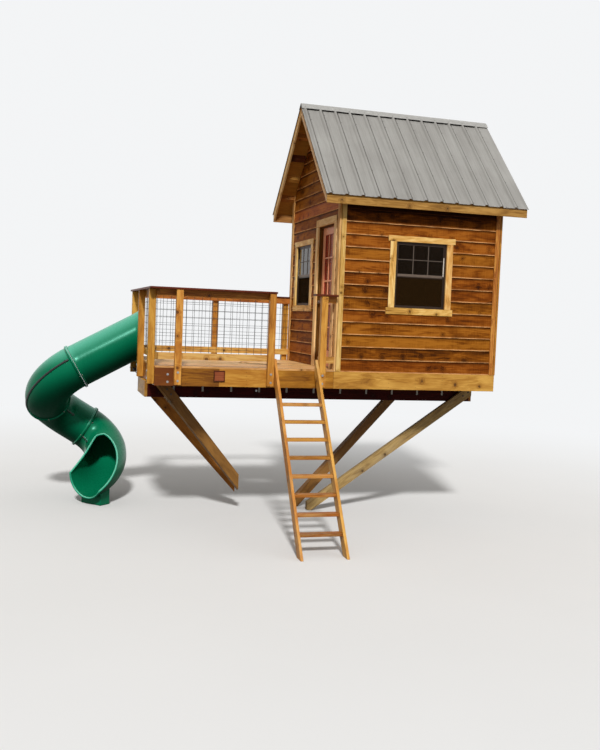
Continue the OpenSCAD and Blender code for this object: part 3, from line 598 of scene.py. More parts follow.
def islands(source, offset=(0, 0, 0)):
    """Splits a bmesh into one for each connected part, moved by an offset, and frees it."""
    source.verts.ensure_lookup_table()
    source.faces.index_update()
    seen, found = set(), []
    for start in source.verts:
        if start in seen:
            continue
        group, queue = [], [start]
        seen.add(start)
        while queue:
            here = queue.pop()
            group.append(here)
            for edge in here.link_edges:
                other = edge.other_vert(here)
                if other not in seen:
                    seen.add(other)
                    queue.append(other)
        single = bmesh.new()
        copies = {v: single.verts.new(v.co + Vector(offset)) for v in group}
        for face in sorted({f for v in group for f in v.link_faces}, key=lambda f: f.index):
            single.faces.new([copies[v] for v in face.verts])
        found.append(single)
    source.free()
    return found


def solids_of(node):
    """The separate solids of a CAD node, merged and freed of their triangles."""
    source = bmesh.new()
    source.from_mesh(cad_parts[node].data)
    bmesh.ops.remove_doubles(source, verts=source.verts, dist=2e-5)
    bmesh.ops.dissolve_limit(source, angle_limit=0.01, verts=source.verts, edges=source.edges)
    return sorted(islands(source, DECK_CORNER),
                  key=lambda s: tuple(round(c, 4) for c in middle_of(s)))


def dress(node, finish, slot, seed, ease=0.0025, along=None, tone=None):
    """Boards in place of a CAD node, one for each of its solids, along their longest edges."""
    boards = Boards(seed)
    for solid in solids_of(node):
        bmesh.ops.recalc_face_normals(solid, faces=solid.faces)
        boards.take(solid, along or longest_way(solid), ease, tone)
    boards.piece(node + "_boards", finish, slot, (node,))


# Fasteners, wires and tubes, made by Geometry Nodes on points

class Growth(Nodes):
    """A Geometry Nodes tree that makes a painted mesh from points."""

    prefix = "GeometryNode"

    def __init__(self, name, *inputs):
        super().__init__(bpy.data.node_groups.new(name, "GeometryNodeTree"))
        inputs = ("Geometry Geometry",) + inputs + ("Finish Material",)
        for label, kind in (line.rsplit(" ", 1) for line in inputs):
            self.tree.interface.new_socket(label, in_out="INPUT",
                                           socket_type="NodeSocket" + kind)
        self.tree.interface.new_socket("Geometry", in_out="OUTPUT",
                                       socket_type="NodeSocketGeometry")
        self.given = self.node("NodeGroupInput")

    def join(self, *parts):
        joined = self.node("JoinGeometry")[0]
        for part in parts:
            self.tree.links.new(part, joined.node.inputs[0])
        return joined

    def real(self, geometry):
        return self.node("RealizeInstances", {"Geometry": geometry})[0]

    def ring(self, radius, sides):
        return self.node("CurvePrimitiveCircle", {"Radius": radius, "Resolution": sides})[0]

    def skin(self, curve, ring, caps=False, **more):
        return self.node("CurveToMesh", {"Curve": curve, "Profile Curve": ring,
                                         "Fill Caps": caps, **more})[0]

    def hand_out(self, geometry):
        painted = self.node("SetMaterial", {"Geometry": geometry,
                                            "Material": self.given["Finish"]})
        self.node("NodeGroupOutput", {"Geometry": painted[0]})
        return self.tree


def fastener_tree():
    """A tapered head at each point, standing along the direction stored there."""
    g = Growth("fastener_heads", "Head radius Float", "Top share Float", "Head height Float",
               "Sides Int")
    given = g.given
    head = g.node("MeshCone", {
        "Vertices": given["Sides"], "Radius Bottom": given["Head radius"],
        "Radius Top": g.times(given["Head radius"], given["Top share"]),
        "Depth": given["Head height"]})
    out = g.node("InputNamedAttribute", {"Name": "out"}, data_type="FLOAT_VECTOR")
    turn = g.node("FunctionNodeAlignRotationToVector", {"Vector": out["Attribute"]}, axis="Z")
    place = g.node("InstanceOnPoints", {"Points": given["Geometry"], "Instance": head["Mesh"],
                                        "Rotation": turn["Rotation"]})
    return g.hand_out(g.real(place[0]))


def wire_tree():
    """A welded wire panel in X and Z: uprights and level wires at one spacing."""
    g = Growth("welded_wire", "Length Float", "Height Float", "Spacing Float",
               "Wire radius Float")
    given, parts = g.given, []
    half = g.times(given["Spacing"], 0.5)
    for span, across, run, rise, push in (("Length", "Height", "X", "Z", 1.0),
                                          ("Height", "Length", "Z", "X", -1.0)):
        count = g.math("ADD", g.math("DIVIDE", given[span], given["Spacing"]), 0.45)
        start = g.node("ShaderNodeCombineXYZ", {run: half,
                                                "Y": g.times(given["Wire radius"], push)})
        step = g.node("ShaderNodeCombineXYZ", {run: given["Spacing"]})
        tip = g.node("ShaderNodeCombineXYZ", {rise: given[across]})
        rows = g.node("MeshLine", {"Count": count, "Start Location": start[0],
                                   "Offset": step[0]})
        wire = g.node("CurvePrimitiveLine", {"End": tip[0]})
        parts.append(g.node("InstanceOnPoints", {"Points": rows["Mesh"],
                                                 "Instance": wire["Curve"]})[0])
    return g.hand_out(g.skin(g.real(g.join(*parts)), g.ring(given["Wire radius"], 6), True))


def tube_tree():
    """Outer and inner wall of a tube along a chain of points, the outer one swollen by the
    share stored at each point, both welded where they meet at the ends."""
    g = Growth("moulded_tube", "Outer radius Float", "Wall Float", "Sides Int")
    given = g.given
    path = g.node("MeshToCurve", {"Mesh": given["Geometry"]})[0]
    swell = g.node("InputNamedAttribute", {"Name": "swell"}, data_type="FLOAT")
    outer = g.skin(path, g.ring(given["Outer radius"], given["Sides"]),
                   Scale=swell["Attribute"])
    bore = g.minus(given["Outer radius"], given["Wall"])
    inner = g.skin(path, g.ring(bore, given["Sides"]))
    both = g.join(outer, g.node("FlipFaces", {"Mesh": inner})[0])
    return g.hand_out(g.real(g.node("MergeByDistance", {"Geometry": both,
                                                        "Distance": 0.0001})[0]))


def bead_tree():
    """A round bead along a chain of points."""
    g = Growth("round_bead", "Bead radius Float", "Sides Int")
    path = g.node("MeshToCurve", {"Mesh": g.given["Geometry"]})[0]
    ring = g.ring(g.given["Bead radius"], g.given["Sides"])
    return g.hand_out(g.real(g.skin(path, ring, True)))


FASTENERS, WIRES, TUBES, BEADS = fastener_tree(), wire_tree(), tube_tree(), bead_tree()


def grown(tree, points, inputs, directions=None, swell=None, chain=False, closed=False):
    """The plain mesh that a tree makes on points, still laid out from the deck's corner."""
    edges = [(i, i + 1) for i in range(len(points) - 1)] if chain else []
    if closed:
        edges.append((len(points) - 1, 0))
    seed = bpy.data.meshes.new("seed")
    seed.from_pydata([tuple(p) for p in points], edges, [])
    if swell is not None:
        store(seed, "swell", "FLOAT", swell)
    if directions is not None:
        store(seed, "out", "FLOAT_VECTOR", directions)
    holder = put("seed", seed)
    modifier = holder.modifiers.new("grow", "NODES")
    modifier.node_group = tree
    names = {s.name: s.identifier for s in tree.interface.items_tree if s.in_out == "INPUT"}
    for label, value in inputs.items():
        modifier[names[label]] = value
    ready = holder.evaluated_get(bpy.context.evaluated_depsgraph_get())
    mesh = bpy.data.meshes.new_from_object(ready)
    holder.modifiers.remove(modifier)
    bpy.data.objects.remove(holder)
    return mesh


def heads(name, spots, radius, height, sides, finish, top=0.8):
    """Fastener heads at spots, a list of (place, direction)."""
    places, directions = zip(*spots)
    piece_of(name, grown(FASTENERS, places,
                         {"Head radius": radius, "Head height": height, "Sides": sides,
                          "Top share": top, "Finish": finish}, directions))


def grid(way, xs, ys, zs):
    """Fastener spots at every x, y and z given, facing one way."""
    return [((x, y, z), way) for x in xs for y in ys for z in zs]


def raised(spots, height):
    return [(tuple(Vector(p) + Vector(d) * height), d) for p, d in spots]


def join_meshes(meshes):
    """One mesh from several, with the materials of the first."""
    bm = bmesh.new()
    for mesh in meshes:
        bm.from_mesh(mesh)
    out = bpy.data.meshes.new("joined")
    bm.to_mesh(out)
    bm.free()
    for material in meshes[0].materials:
        out.materials.append(material)
    return out


# Camera, light and floor

BACKDROP = (0.90, 0.91, 0.92, 1.0)


def place_camera():
    """The photograph's viewpoint: a level look from the front left, a little below the deck."""
    yaw, pitch, roll = (math.radians(a) for a in (16.181, -3.642, 2.320))
    forward = Vector((math.sin(yaw) * math.cos(pitch), math.cos(yaw) * math.cos(pitch),
                      math.sin(pitch)))
    level = Vector((math.cos(yaw), -math.sin(yaw), 0))
    above = level.cross(forward)
    right = level * math.cos(roll) + above * math.sin(roll)
    up = above * math.cos(roll) - level * math.sin(roll)
    lens = bpy.data.cameras.new("camera")
    lens.sensor_fit, lens.sensor_width = "HORIZONTAL", 36.0
    lens.lens = 895.25 / 600 * 36
    lens.clip_end = 200
    camera = put("camera", lens)
    turn = Matrix((right, up, -forward)).transposed().to_4x4()
    camera.matrix_world = Matrix.Translation(
        Vector((-1.414, -11.625, 0.689)) - DECK_CORNER) @ turn
    bpy.context.scene.camera = camera


def place_lights():
    for name, direction, strength, wide in (("key", (0.22, 0.92, -0.80), 2.8, 6),
                                            ("fill", (-0.9, 0.50, -0.35), 0.40, 60)):
        lamp = bpy.data.lights.new(name, "SUN")
        lamp.energy, lamp.angle = strength, math.radians(wide)
        put(name, lamp).rotation_euler = Vector(direction).to_track_quat("-Z", "Y").to_euler()
    world = bpy.data.worlds.new("studio")
    bpy.context.scene.world = world
    world.use_nodes = True
    world.node_tree.nodes.clear()
    w = Nodes(world.node_tree)
    soft = w.node("Background", {"Color": (1.0, 0.985, 0.96, 1.0), "Strength": 0.36})
    backdrop = w.node("Background", {"Color": BACKDROP, "Strength": 1.0})
    mix = w.node("MixShader", {0: w.seen(), 1: soft[0], 2: backdrop[0]})
    w.node("OutputWorld", {"Surface": mix[0]})


def place_floor():
    p = Paint("pale_floor")
    spot = p.where()
    cloud = p.noise(spot, 0.4)
    seen = p.seen()
    # What the floor throws back on the object is that of trodden ground
    colour = p.blend(seen, p.blend(cloud, "6d675f", "7a746b"), p.blend(cloud, "e6e5e3", "ecebe9"))
    p.done(colour, 0.9, Specular_IOR_Level=0.1)
    # Away from the object the floor turns into the backdrop, so that no edge shows
    away = p.node("VectorMath", {0: spot}, operation="LENGTH")["Value"]
    glow = p.node("Emission", {"Color": BACKDROP, "Strength": 1.0})
    mix = p.node("MixShader", {0: p.times(p.span(away, 3.5, 15.0, smooth=True), seen),
                               1: p.shader.outputs[0], 2: glow[0]})
    p.plug(p.tree.nodes["Material Output"].inputs["Surface"], mix[0])
    mesh = bpy.data.meshes.new("floor")
    reach, z = 60.0, -DECK_H - DECK_CORNER.z
    mesh.from_pydata([(-reach, -reach, z), (reach, -reach, z), (reach, reach, z),
                      (-reach, reach, z)], [], [(0, 1, 2, 3)])
    mesh.materials.append(p.material)
    put("floor", mesh)


bpy.context.scene.view_settings.view_transform = "Standard"
place_camera()
place_lights()
place_floor()


# Platform

def make_rims():
    """Rim boards, joined beside the ladder, with screws at the joists and between them."""
    back, inset = DECK_W - STOCK, STOCK + 0.0005
    # The front rim's boards towards the left end take darker tones; the joint between the second
    # and third boards lies behind the plaque
    for seed, name, finish, node, rows in (
            (11, "front_rim_boards", RIM_FRONT, "front_rim",
             ((0.0, 0.2890, 0.0, STOCK, 1.25), (0.2900, 0.8500, 0.0, STOCK, 1.05),
              (0.8505, 1.574, 0.0, STOCK, 0.45), (1.5755, 2.4385, 0.0, STOCK, 0.80))),
            (19, "front_rim_under_cabin", RIM_PALE, "front_rim",
             ((2.440, DECK_L, 0.0, STOCK, 0.5),)),
            (12, "rear_rim_boards", RIM_FRONT, "rear_rim",
             ((0.0, 2.4385, back, DECK_W, 0.7), (2.440, DECK_L, back, DECK_W, 0.45))),
            (13, "end_rim_boards", RIM_FRONT, "end_rims",
             ((0.0, STOCK, inset, DECK_W - inset, 0.85),
              (DECK_L - STOCK, DECK_L, inset, DECK_W - inset, 0.4)))):
        boards = Boards(seed)
        for x0, x1, y0, y1, tone in rows:
            boards.box((x0, y0, JOIST_LOW), (x1, y1, JOIST_TOP), tone=tone)
        boards.piece(name, finish, "gold_timber", (node,))
    count = int((DECK_L - 2 * STOCK) / JOIST_STEP)
    joists = [k * JOIST_STEP for k in range(1, count + 1)]
    levels, pair = (-0.060, -0.115, -0.170, -0.225), (-0.070, -0.215)
    between = (0.30, 0.62, 0.95, 1.55, 1.88, 2.20)
    spots = grid(FRONT, joists, (0.0,), levels) + grid(REAR, joists, (DECK_W,), levels)
    spots += grid(LEFT, (0.0,), between, pair) + grid(RIGHT, (DECK_L,), between, pair)
    heads("rim_screws", spots, 0.0036, 0.0012, 8, BRONZE, top=0.75)


def make_decking():
    """Deck boards round the trunk's place, with two screws at each joist."""
    dress("decking", DECKING, "gold_timber", 21, ease=0.002)
    spots = []
    pitch, width, inset = 0.144, 0.139, 0.030
    for row in range(17):
        low, high = row * pitch, min(row * pitch + width, DECK_W)
        ys = (low + inset, high - inset) if high - low > 0.08 else ((low + high) / 2,)
        spots += grid(UP, [STOCK / 2] + [k * JOIST_STEP for k in range(1, 6)], ys, (-0.0004,))
    clear = [s for s in spots if math.hypot(s[0][0] - TRUNK_X, s[0][1] - MID_Y) > TRUNK_R]
    heads("deck_screws", clear, 0.0042, 0.0010, 8, BRONZE)


def make_frame_below():
    dress("joists", JOIST, "dark_timber", 31)
    dress("main_beams", BEAM, "dark_timber", 32, ease=0.003, along=(1, 0, 0), tone=0.5)
    dress("beam_end_boards", RIM_PALE, "gold_timber", 34, tone=0.45)
    # The four braces are one lumber: the front right one painted sunlit, the rear left one a
    # warmer lit copy, the other two a darker shaded copy
    dark, sunlit, warm = Boards(37), Boards(38), Boards(39)
    for solid in solids_of("knee_braces"):
        middle = middle_of(solid)
        right, rear = middle.x > TRUNK_X, middle.y > MID_Y
        boards = dark if right == rear else sunlit if right else warm
        boards.take(solid, longest_way(solid), 0.004, 0.5)
    dark.piece("dark_braces", BRACE, "dark_timber", ("knee_braces",))
    sunlit.piece("front_right_brace", BRACE_SUN, "dark_timber", ("knee_braces",))
    warm.piece("rear_left_brace", BRACE_WARM, "dark_timber", ("knee_braces",))


# Tops and feet of the knee braces (x, z), and whether they hold up the rear beam
FOOT = 0.764
BRACES = [((0.0435 * DECK_L, JOIST_LOW - 0.060), (TRUNK_X - 0.39 * FOOT, 0.430 - DECK_H), False),
          ((DECK_L - 0.010, JOIST_LOW - 0.040), (TRUNK_X + FOOT, 0.040 - DECK_H), False),
          ((0.0075 * DECK_L, JOIST_LOW - 0.060), (TRUNK_X - 0.39 * FOOT, 0.360 - DECK_H), True),
          ((CAB_MID + 0.213 * DECK_L / 2, JOIST_LOW - 0.060),
           (TRUNK_X + 0.86 * FOOT, 0.080 - DECK_H), True)]


def tie_strap(x, y, side):
    """Plates of a folded steel tie that holds a joist down on a beam's outer face."""
    out, inner = y - side * 0.0020, y + side * 0.028
    return (((x - 0.014, min(out, y), -0.392), (x + 0.014, max(out, y), -0.260)),
            ((x + 0.0140, min(out, inner), -0.262), (x + 0.0160, max(out, inner), -0.190)))


def make_metal_below():
    """Galvanised ties at every joist, and bolts through rims and braces."""
    points, faces, spots = [], [], []
    for y, side in ((BEAM_Y0, 1), (DECK_W - BEAM_Y0, -1)):
        for k in range(1, 12):
            x = k * JOIST_STEP - 0.044
            if DECK_L - x < 0.1:
                continue
            for low, high in tie_strap(x, y, side):
                faces += [tuple(len(points) + i for i in face) for face in BOX_FACES]
                points += box_corners(low, high)
            spots += grid((0, -side, 0), (x - 0.008, x + 0.008), (y - side * 0.0020,),
                          (-0.380, -0.355, -0.330, -0.305, -0.280))
    settle("joist_ties", points, faces, DULL_ZINC)
    heads("tie_nails", spots, 0.0042, 0.0016, 8, DULL_ZINC, top=0.7)
    bolts = grid(FRONT, (0.289, 1.5305, 2.2495), (-0.089,), (-0.078, -0.190))
    bolts += grid(FRONT, (0.170,), (0.0,), (-0.110, -0.208))
    bolts += grid(LEFT, (-0.089,), (0.0995, 1.3705, 2.3335), (-0.075, -0.175))
    bolts += grid(REAR, (0.0445, 1.2345, 2.3855), (DECK_W + 0.089,), (-0.075, -0.175))
    for way, y in ((FRONT, BEAM_Y0), (REAR, DECK_W - BEAM_Y0)):
        bolts += grid(way, (1.540, 1.840), (y,), (-0.370,))
    brace_bolts = []
    for top, foot, rear in BRACES:
        run = Vector((foot[0] - top[0], 1.0891 - 0.7045, foot[1] - top[1]))
        flat = Vector((run.x, run.y, 0)).normalized()
        out = Vector((flat.y, -flat.x, 0)) * math.copysign(1, run.x)
        way = run.normalized()
        for share in (0.055, 0.150):
            spot = Vector((top[0], 0.7045, top[1])) + way * share + out * 0.0445
            if rear:
                brace_bolts.append(((spot.x, DECK_W - spot.y, spot.z), (out.x, -out.y, 0)))
            else:
                brace_bolts.append((tuple(spot), tuple(out)))
    for start, group, finish in (("bolt", bolts, ZINC), ("brace_bolt", brace_bolts, RUSTY)):
        heads(start + "_washers", group, 0.0155, 0.0028, 16, finish, top=0.96)
        heads(start + "_heads", raised(group, 0.0026), 0.0092, 0.0068, 6, finish, top=0.93)


make_rims()
make_decking()
make_frame_below()
make_metal_below()
dress("cabin_floor", FLOOR_PLY, "gold_timber", 41)


# Cabin walls

WALLS = {
    "front": lambda s, d, z: (s, d, z),
    "rear": lambda s, d, z: (s, DECK_W - d, z),
    "left": lambda s, d, z: (CAB_X0 + d, s, z),
    "right": lambda s, d, z: (CAB_X1 - d, s, z),
}
SIDING_TOP = roof_z(0) - drop(SHEATH_T + RAFTER_D)
GABLE_BASE = roof_z(0) - drop(SHEATH_T)


# Half planes (a, b, c), with a*s + b*z <= c, of what lies under both slopes of a gable
UNDER_ROOF = [(-1, 1, GABLE_BASE), (1, 1, GABLE_BASE + DECK_W)]


def way_of(wall, d=0, s=0):
    """Direction across or along a wall."""
    place = WALLS[wall]
    return Vector(place(s, d, 0)) - Vector(place(0, 0, 0))


def clipped(polygon, half_planes):
    for a, b, c in half_planes:
        kept = []
        for i, here in enumerate(polygon):
            there = polygon[(i + 1) % len(polygon)]
            da, db = a * here[0] + b * here[1] - c, a * there[0] + b * there[1] - c
            if da <= 1e-7:
                kept.append(here)
            if (da < -1e-7 and db > 1e-7) or (da > 1e-7 and db < -1e-7):
                t = da / (da - db)
                kept.append((here[0] + t * (there[0] - here[0]),
                             here[1] + t * (there[1] - here[1])))
        polygon = kept
    return polygon


def sheet_solids(s0, s1, z0, z1, near, far, half_planes=(), holes=()):
    """Solids of a rectangle with holes, clipped by half planes. near and far give, for a
    point (s, z), its places on the outer and the inner face."""
    cuts_s = sorted({s0, s1} | {s for h in holes for s in h[:2] if s0 < s < s1})
    cuts_z = sorted({z0, z1} | {z for h in holes for z in h[2:] if z0 < z < z1})
    bm = bmesh.new()
    for a, b in zip(cuts_s, cuts_s[1:]):
        for c, d in zip(cuts_z, cuts_z[1:]):
            s, z = (a + b) / 2, (c + d) / 2
            if any(h[0] < s < h[1] and h[2] < z < h[3] for h in holes):
                continue
            cell = clipped([(a, c), (b, c), (b, d), (a, d)], half_planes)
            if len(cell) > 2:
                bm.faces.new([bm.verts.new((p[0], p[1], 0)) for p in cell])
    bmesh.ops.remove_doubles(bm, verts=bm.verts, dist=1e-5)
    bmesh.ops.dissolve_limit(bm, angle_limit=0.001, verts=bm.verts, edges=bm.edges)
    flat = list(bm.faces)
    grown_part = bmesh.ops.extrude_face_region(bm, geom=flat)["geom"]
    inner = {v for v in grown_part if isinstance(v, bmesh.types.BMVert)}
    for v in bm.verts:
        place = far if v in inner else near
        v.co = Vector(place(v.co.x, v.co.y))
    parts = islands(bm)
    for part in parts:
        bmesh.ops.recalc_face_normals(part, faces=part.faces)
    return parts


def window_holes(s):
    side, ear = WIN_W / 2 + TRIM_W, WIN_W / 2 + TRIM_W + WIN_EAR
    return [(s - side, s + side, WIN_Z, WIN_Z + WIN_H),
            (s - ear, s + ear, WIN_Z - TRIM_W, WIN_Z),
            (s - ear, s + ear, WIN_Z + WIN_H, WIN_Z + WIN_H + WIN_HEAD)]


DOOR_HOLE = (DOOR_Y - TRIM_W, DOOR_Y + DOOR_W + TRIM_W, JOIST_TOP - 1, DOOR_H + TRIM_W)


def lap_siding(name, wall, s0, s1, top, seed, nodes, half_planes=(), holes=(), bright=None):
    """Courses of siding, each board cut round the openings and under the roof. One course may
    take painted sunlight, a brighter copy of the stain, and on the front and rear the top
    courses take painted shadow of the eave."""
    place = WALLS[wall]
    dull, fresh, shaded = Boards(seed), Boards(seed + 300), Boards(seed + 600)
    courses = int((top - JOIST_TOP) / CLAD_STEP) + 1
    order = random.Random(seed + 500)
    for k in range(courses):
        low = JOIST_TOP + k * CLAD_STEP
        high = min(low + CLAD_STEP, top)
        if high - low < 0.004:
            continue

        def near(s, z, low=low):
            return place(s, CLAD_TAPER * (z - low) / CLAD_STEP, z)

        def lap(co, low=low):
            return (co.z - low) / CLAD_STEP

        # The course numbered bright takes painted sunlight
        boards = fresh if k == bright else dull
        tone = order.choice((0.22, 0.34, 0.45, 0.52, 0.6, 0.7, 0.85))
        # Painted eave shadow: on the front and rear the top course takes the darker copy of the
        # stain and the course below a darker tone
        if wall in ("front", "rear") and high + 0.09 > top:
            boards = shaded
        elif wall in ("front", "rear") and high + CLAD_STEP + 0.09 > top:
            tone = 1.15
        for part in sheet_solids(s0 + 0.001, s1 - 0.001, low + 0.0004, high - 0.0004, near,
                                 lambda s, z: place(s, CLAD_T, z), half_planes, holes):
            boards.take(part, way_of(wall, s=1), 0.0016, tone + order.uniform(-0.12, 0.12), lap)
    dull.piece(name, SIDING, "red_siding", nodes)
    if fresh.points:
        fresh.piece(name + "_bright", SIDING_SUNLIT, "red_siding", nodes)
    if shaded.points:
        shaded.piece(name + "_under_eave", SIDING_SHADE, "red_siding", nodes)


def wall_frame(name, wall, shapes, nodes=()):
    """The wall's frame with its sheathing: shapes are arguments for sheet_solids."""
    place = WALLS[wall]
    boards = Boards(7)
    for s0, s1, z0, z1, planes, holes in shapes:
        for part in sheet_solids(s0, s1, z0, z1, lambda s, z: place(s, CLAD_T + 0.0004, z),
                                 lambda s, z: place(s, INNER_Y, z), planes, holes):
            boards.take(part, (0, 0, 1), 0.0)
    boards.piece(name, INSIDE, "red_siding", nodes)


def make_walls():
    opening = (CAB_MID - WIN_W / 2, CAB_MID + WIN_W / 2, WIN_Z, WIN_Z + WIN_H)
    for wall, seed in (("front", 51), ("rear", 52)):
        lap_siding(wall + "_siding", wall, CAB_X0 + TRIM_W, CAB_X1 - TRIM_W, SIDING_TOP, seed,
                   (wall + "_wall",), (), window_holes(CAB_MID))
        wall_frame(wall + "_wall_frame", wall,
                   [(SLAB_X0, CAB_X1 - CLAD_T, 0.0, 2.470, (), [opening])], (wall + "_wall",))
    left_nodes = ("left_wall_front", "left_wall_rear", "left_gable")
    for wall, seed, s, nodes in (("left", 53, SIDE_WIN_Y, left_nodes),
                                 ("right", 54, MID_Y, ("right_wall",))):
        holes = window_holes(s)
        gaps = [(s - WIN_W / 2, s + WIN_W / 2, WIN_Z, WIN_Z + WIN_H)]
        if wall == "left":
            holes = holes + [DOOR_HOLE]
            gaps = gaps + [(DOOR_Y, DOOR_Y + DOOR_W, -1.0, DOOR_H)]
        # On the left wall course 13 takes painted sunlight
        lap_siding(wall + "_siding", wall, TRIM_W, DECK_W - TRIM_W, GABLE_BASE + MID_Y, seed,
                   nodes, UNDER_ROOF, holes, bright=13 if wall == "left" else None)
        wall_frame(wall + "_wall_frame", wall,
                   [(INNER_Y, DECK_W - INNER_Y, 0.0, 2.470, (), gaps),
                    (CLAD_T, DECK_W - CLAD_T, 2.4705, 4.0, UNDER_ROOF, ())], nodes)


def make_corner_boards():
    """Corner boards, paler at the deck's end than at the far end of the cabin: painted light."""
    top = SIDING_TOP - TRIM_PROUD
    for side, name, finish in ((0, "corner_boards_by_deck", CORNER_LIT),
                               (1, "corner_boards_at_far_end", GOLD)):
        boards = Boards(61 + side)

        def flip_x(x, side=side):
            return x if side == 0 else 2 * CAB_MID - x

        for rear in (0, 1):
            def flip_y(y, rear=rear):
                return y if rear == 0 else DECK_W - y

            xs = sorted((flip_x(SLAB_X0 + 0.007), flip_x(CAB_X0 + TRIM_W)))
            ys = sorted((flip_y(-TRIM_PROUD), flip_y(CLAD_T)))
            boards.box((xs[0], ys[0], JOIST_TOP), (xs[1], ys[1], top), ease=0.003,
                       tone=0.35 if side == 0 else 0.6)
            outline = [(-TRIM_PROUD, JOIST_TOP), (TRIM_W, JOIST_TOP),
                       (TRIM_W, GABLE_BASE + TRIM_W), (-TRIM_PROUD, GABLE_BASE - TRIM_PROUD)]
            near, far = sorted((flip_x(CAB_X0 - TRIM_PROUD), flip_x(SLAB_X0 + 0.0005)))
            boards.prism([(flip_y(y), z) for y, z in outline], near, far, (0, 0, 1), ease=0.003,
                         tone=0.3 if side == 0 else 0.6)
        boards.piece(name, finish, "gold_timber", ("corner_boards",))


def make_window_casings():
    boards = Boards(62)
    nails = []
    for wall, s in WINDOWS:
        place = WALLS[wall]
        side, half = WIN_W / 2 + TRIM_W, WIN_W / 2
        top = WIN_Z + WIN_H
        for a, b, c, d, along in (
                (-side, -half, WIN_Z, top, (0, 0, 1)), (half, side, WIN_Z, top, (0, 0, 1)),
                (-side - WIN_EAR, side + WIN_EAR, top + 0.0005, top + WIN_HEAD, None),
                (-side - WIN_EAR, side + WIN_EAR, WIN_Z - TRIM_W, WIN_Z - 0.0005, None)):
            boards.box(*ordered(place(s + a, -TRIM_PROUD, c), place(s + b, CLAD_T, d)),
                       ease=0.003, tone=0.40 if along else 0.78,
                       along=along or way_of(wall, s=1))
            for end in (0, 1):
                for shift in (-0.014, 0.014):
                    if along:
                        spot = ((a + b) / 2 + shift, (c + 0.05, d - 0.05)[end])
                    else:
                        spot = ((a + 0.03, b - 0.03)[end], (c + d) / 2 + shift)
                    nails.append((place(s + spot[0], -TRIM_PROUD, spot[1]),
                                  tuple(way_of(wall, d=-1))))
    boards.piece("window_casings", CASING, "gold_timber", ("window_trims",))
    heads("casing_nails", nails, 0.0026, 0.0008, 8, ZINC)


def make_windows():
    """Hung windows: frame, two sashes a step apart, six lites above, a lock and a lift bar."""
    bars, lites, glass, low_glass = Metalwork(), Metalwork(), Metalwork(), Metalwork()
    rails, tracks, screens = Metalwork(), Metalwork(), Metalwork()
    half, top = WIN_W / 2, WIN_Z + WIN_H
    mid = WIN_Z + WIN_H / 2
    for wall, s in WINDOWS:
        def bar(a, b, d0, d1, c, d, into=bars, ease=0.0015, place=WALLS[wall], s=s):
            into.box(*ordered(place(s + a, d0, c), place(s + b, d1, d)), ease)

        out, back = 0.022, 0.071
        bar(-half, -half + 0.020, out, back, WIN_Z, top)
        bar(half - 0.020, half, out, back, WIN_Z, top)
        bar(-half + 0.020, half - 0.020, out, back, top - 0.020, top)
        bar(-half + 0.020, half - 0.020, out, back, WIN_Z, WIN_Z + 0.022)
        # Upper sash, in the outer track
        e = half - 0.020
        for a, b, c, d in ((-e, -e + 0.022, mid - 0.018, top - 0.020),
                           (e - 0.022, e, mid - 0.018, top - 0.020),
                           (-e + 0.022, e - 0.022, top - 0.042, top - 0.020)):
            bar(a, b, 0.030, 0.047, c, d)
        # The meeting rail takes the paler, lit copy of the frame paint
        bar(-e + 0.022, e - 0.022, 0.030, 0.047, mid - 0.018, mid + 0.016, rails)
        # Lower sash, in the inner track
        for a, b, c, d in ((-e, -e + 0.026, WIN_Z + 0.022, mid + 0.014),
                           (e - 0.026, e, WIN_Z + 0.022, mid + 0.014),
                           (-e + 0.026, e - 0.026, mid - 0.016, mid + 0.014),
                           (-e + 0.026, e - 0.026, WIN_Z + 0.022, WIN_Z + 0.060)):
            bar(a, b, 0.050, 0.067, c, d)
        bar(-0.035, 0.035, 0.066, 0.078, mid + 0.008, mid + 0.022)
        bar(-0.16, 0.16, 0.066, 0.076, WIN_Z + 0.052, WIN_Z + 0.060)
        # Lite bars on the outer pane of the upper sash
        inner, low, high = e - 0.022, mid + 0.016, top - 0.042
        for k in (1, 2):
            x = -inner + 2 * inner * k / 3
            bar(x - 0.0075, x + 0.0075, 0.0285, 0.0345, low, high, lites, 0.002)
        z = (low + high) / 2
        bar(-inner, inner, 0.0290, 0.0340, z - 0.0060, z + 0.0060, lites, 0.002)
        # A near-white strip on one side of the upper sash: a painted highlight on a balance track
        bar(e - 0.0165, e - 0.0025, 0.0285, 0.0305, mid + 0.005, top - 0.190, tracks, 0.0005)
        # Insect screen in its frame, before the lower sash
        c, d = WIN_Z + 0.022, mid - 0.019
        for a, b, f, g in ((-e, -e + 0.013, c, d), (e - 0.013, e, c, d),
                           (-e + 0.013, e - 0.013, c, c + 0.013),
                           (-e + 0.013, e - 0.013, d - 0.013, d)):
            bar(a, b, 0.0320, 0.0410, f, g)
        bar(-e + 0.012, e - 0.012, 0.0362, 0.0368, c + 0.012, d - 0.012, screens, 0)
        for deep in (0.0355, 0.0445):
            bar(-inner - 0.005, inner + 0.005, deep - 0.0012, deep + 0.0012, low - 0.005,
                high + 0.005, glass, 0)
        bar(-e + 0.021, e - 0.021, 0.0575, 0.0600, WIN_Z + 0.055, mid - 0.011, low_glass, 0)
    for made, name, finish in (
            (bars, "frames_and_sashes", BRONZE), (lites, "lite_bars", BAR),
            (rails, "meeting_rails", RAIL), (tracks, "balance_tracks", TRACK_HIGHLIGHT),
            (screens, "insect_screens", SCREEN)):
        made.piece("window_" + name, finish, "bronze_frame", ("window_sashes",))
    glass.piece("upper_window_panes", GLASS, "glass", ("window_glass",))
    low_glass.piece("lower_window_panes", GLASS_LOW, "glass", ("window_glass",))


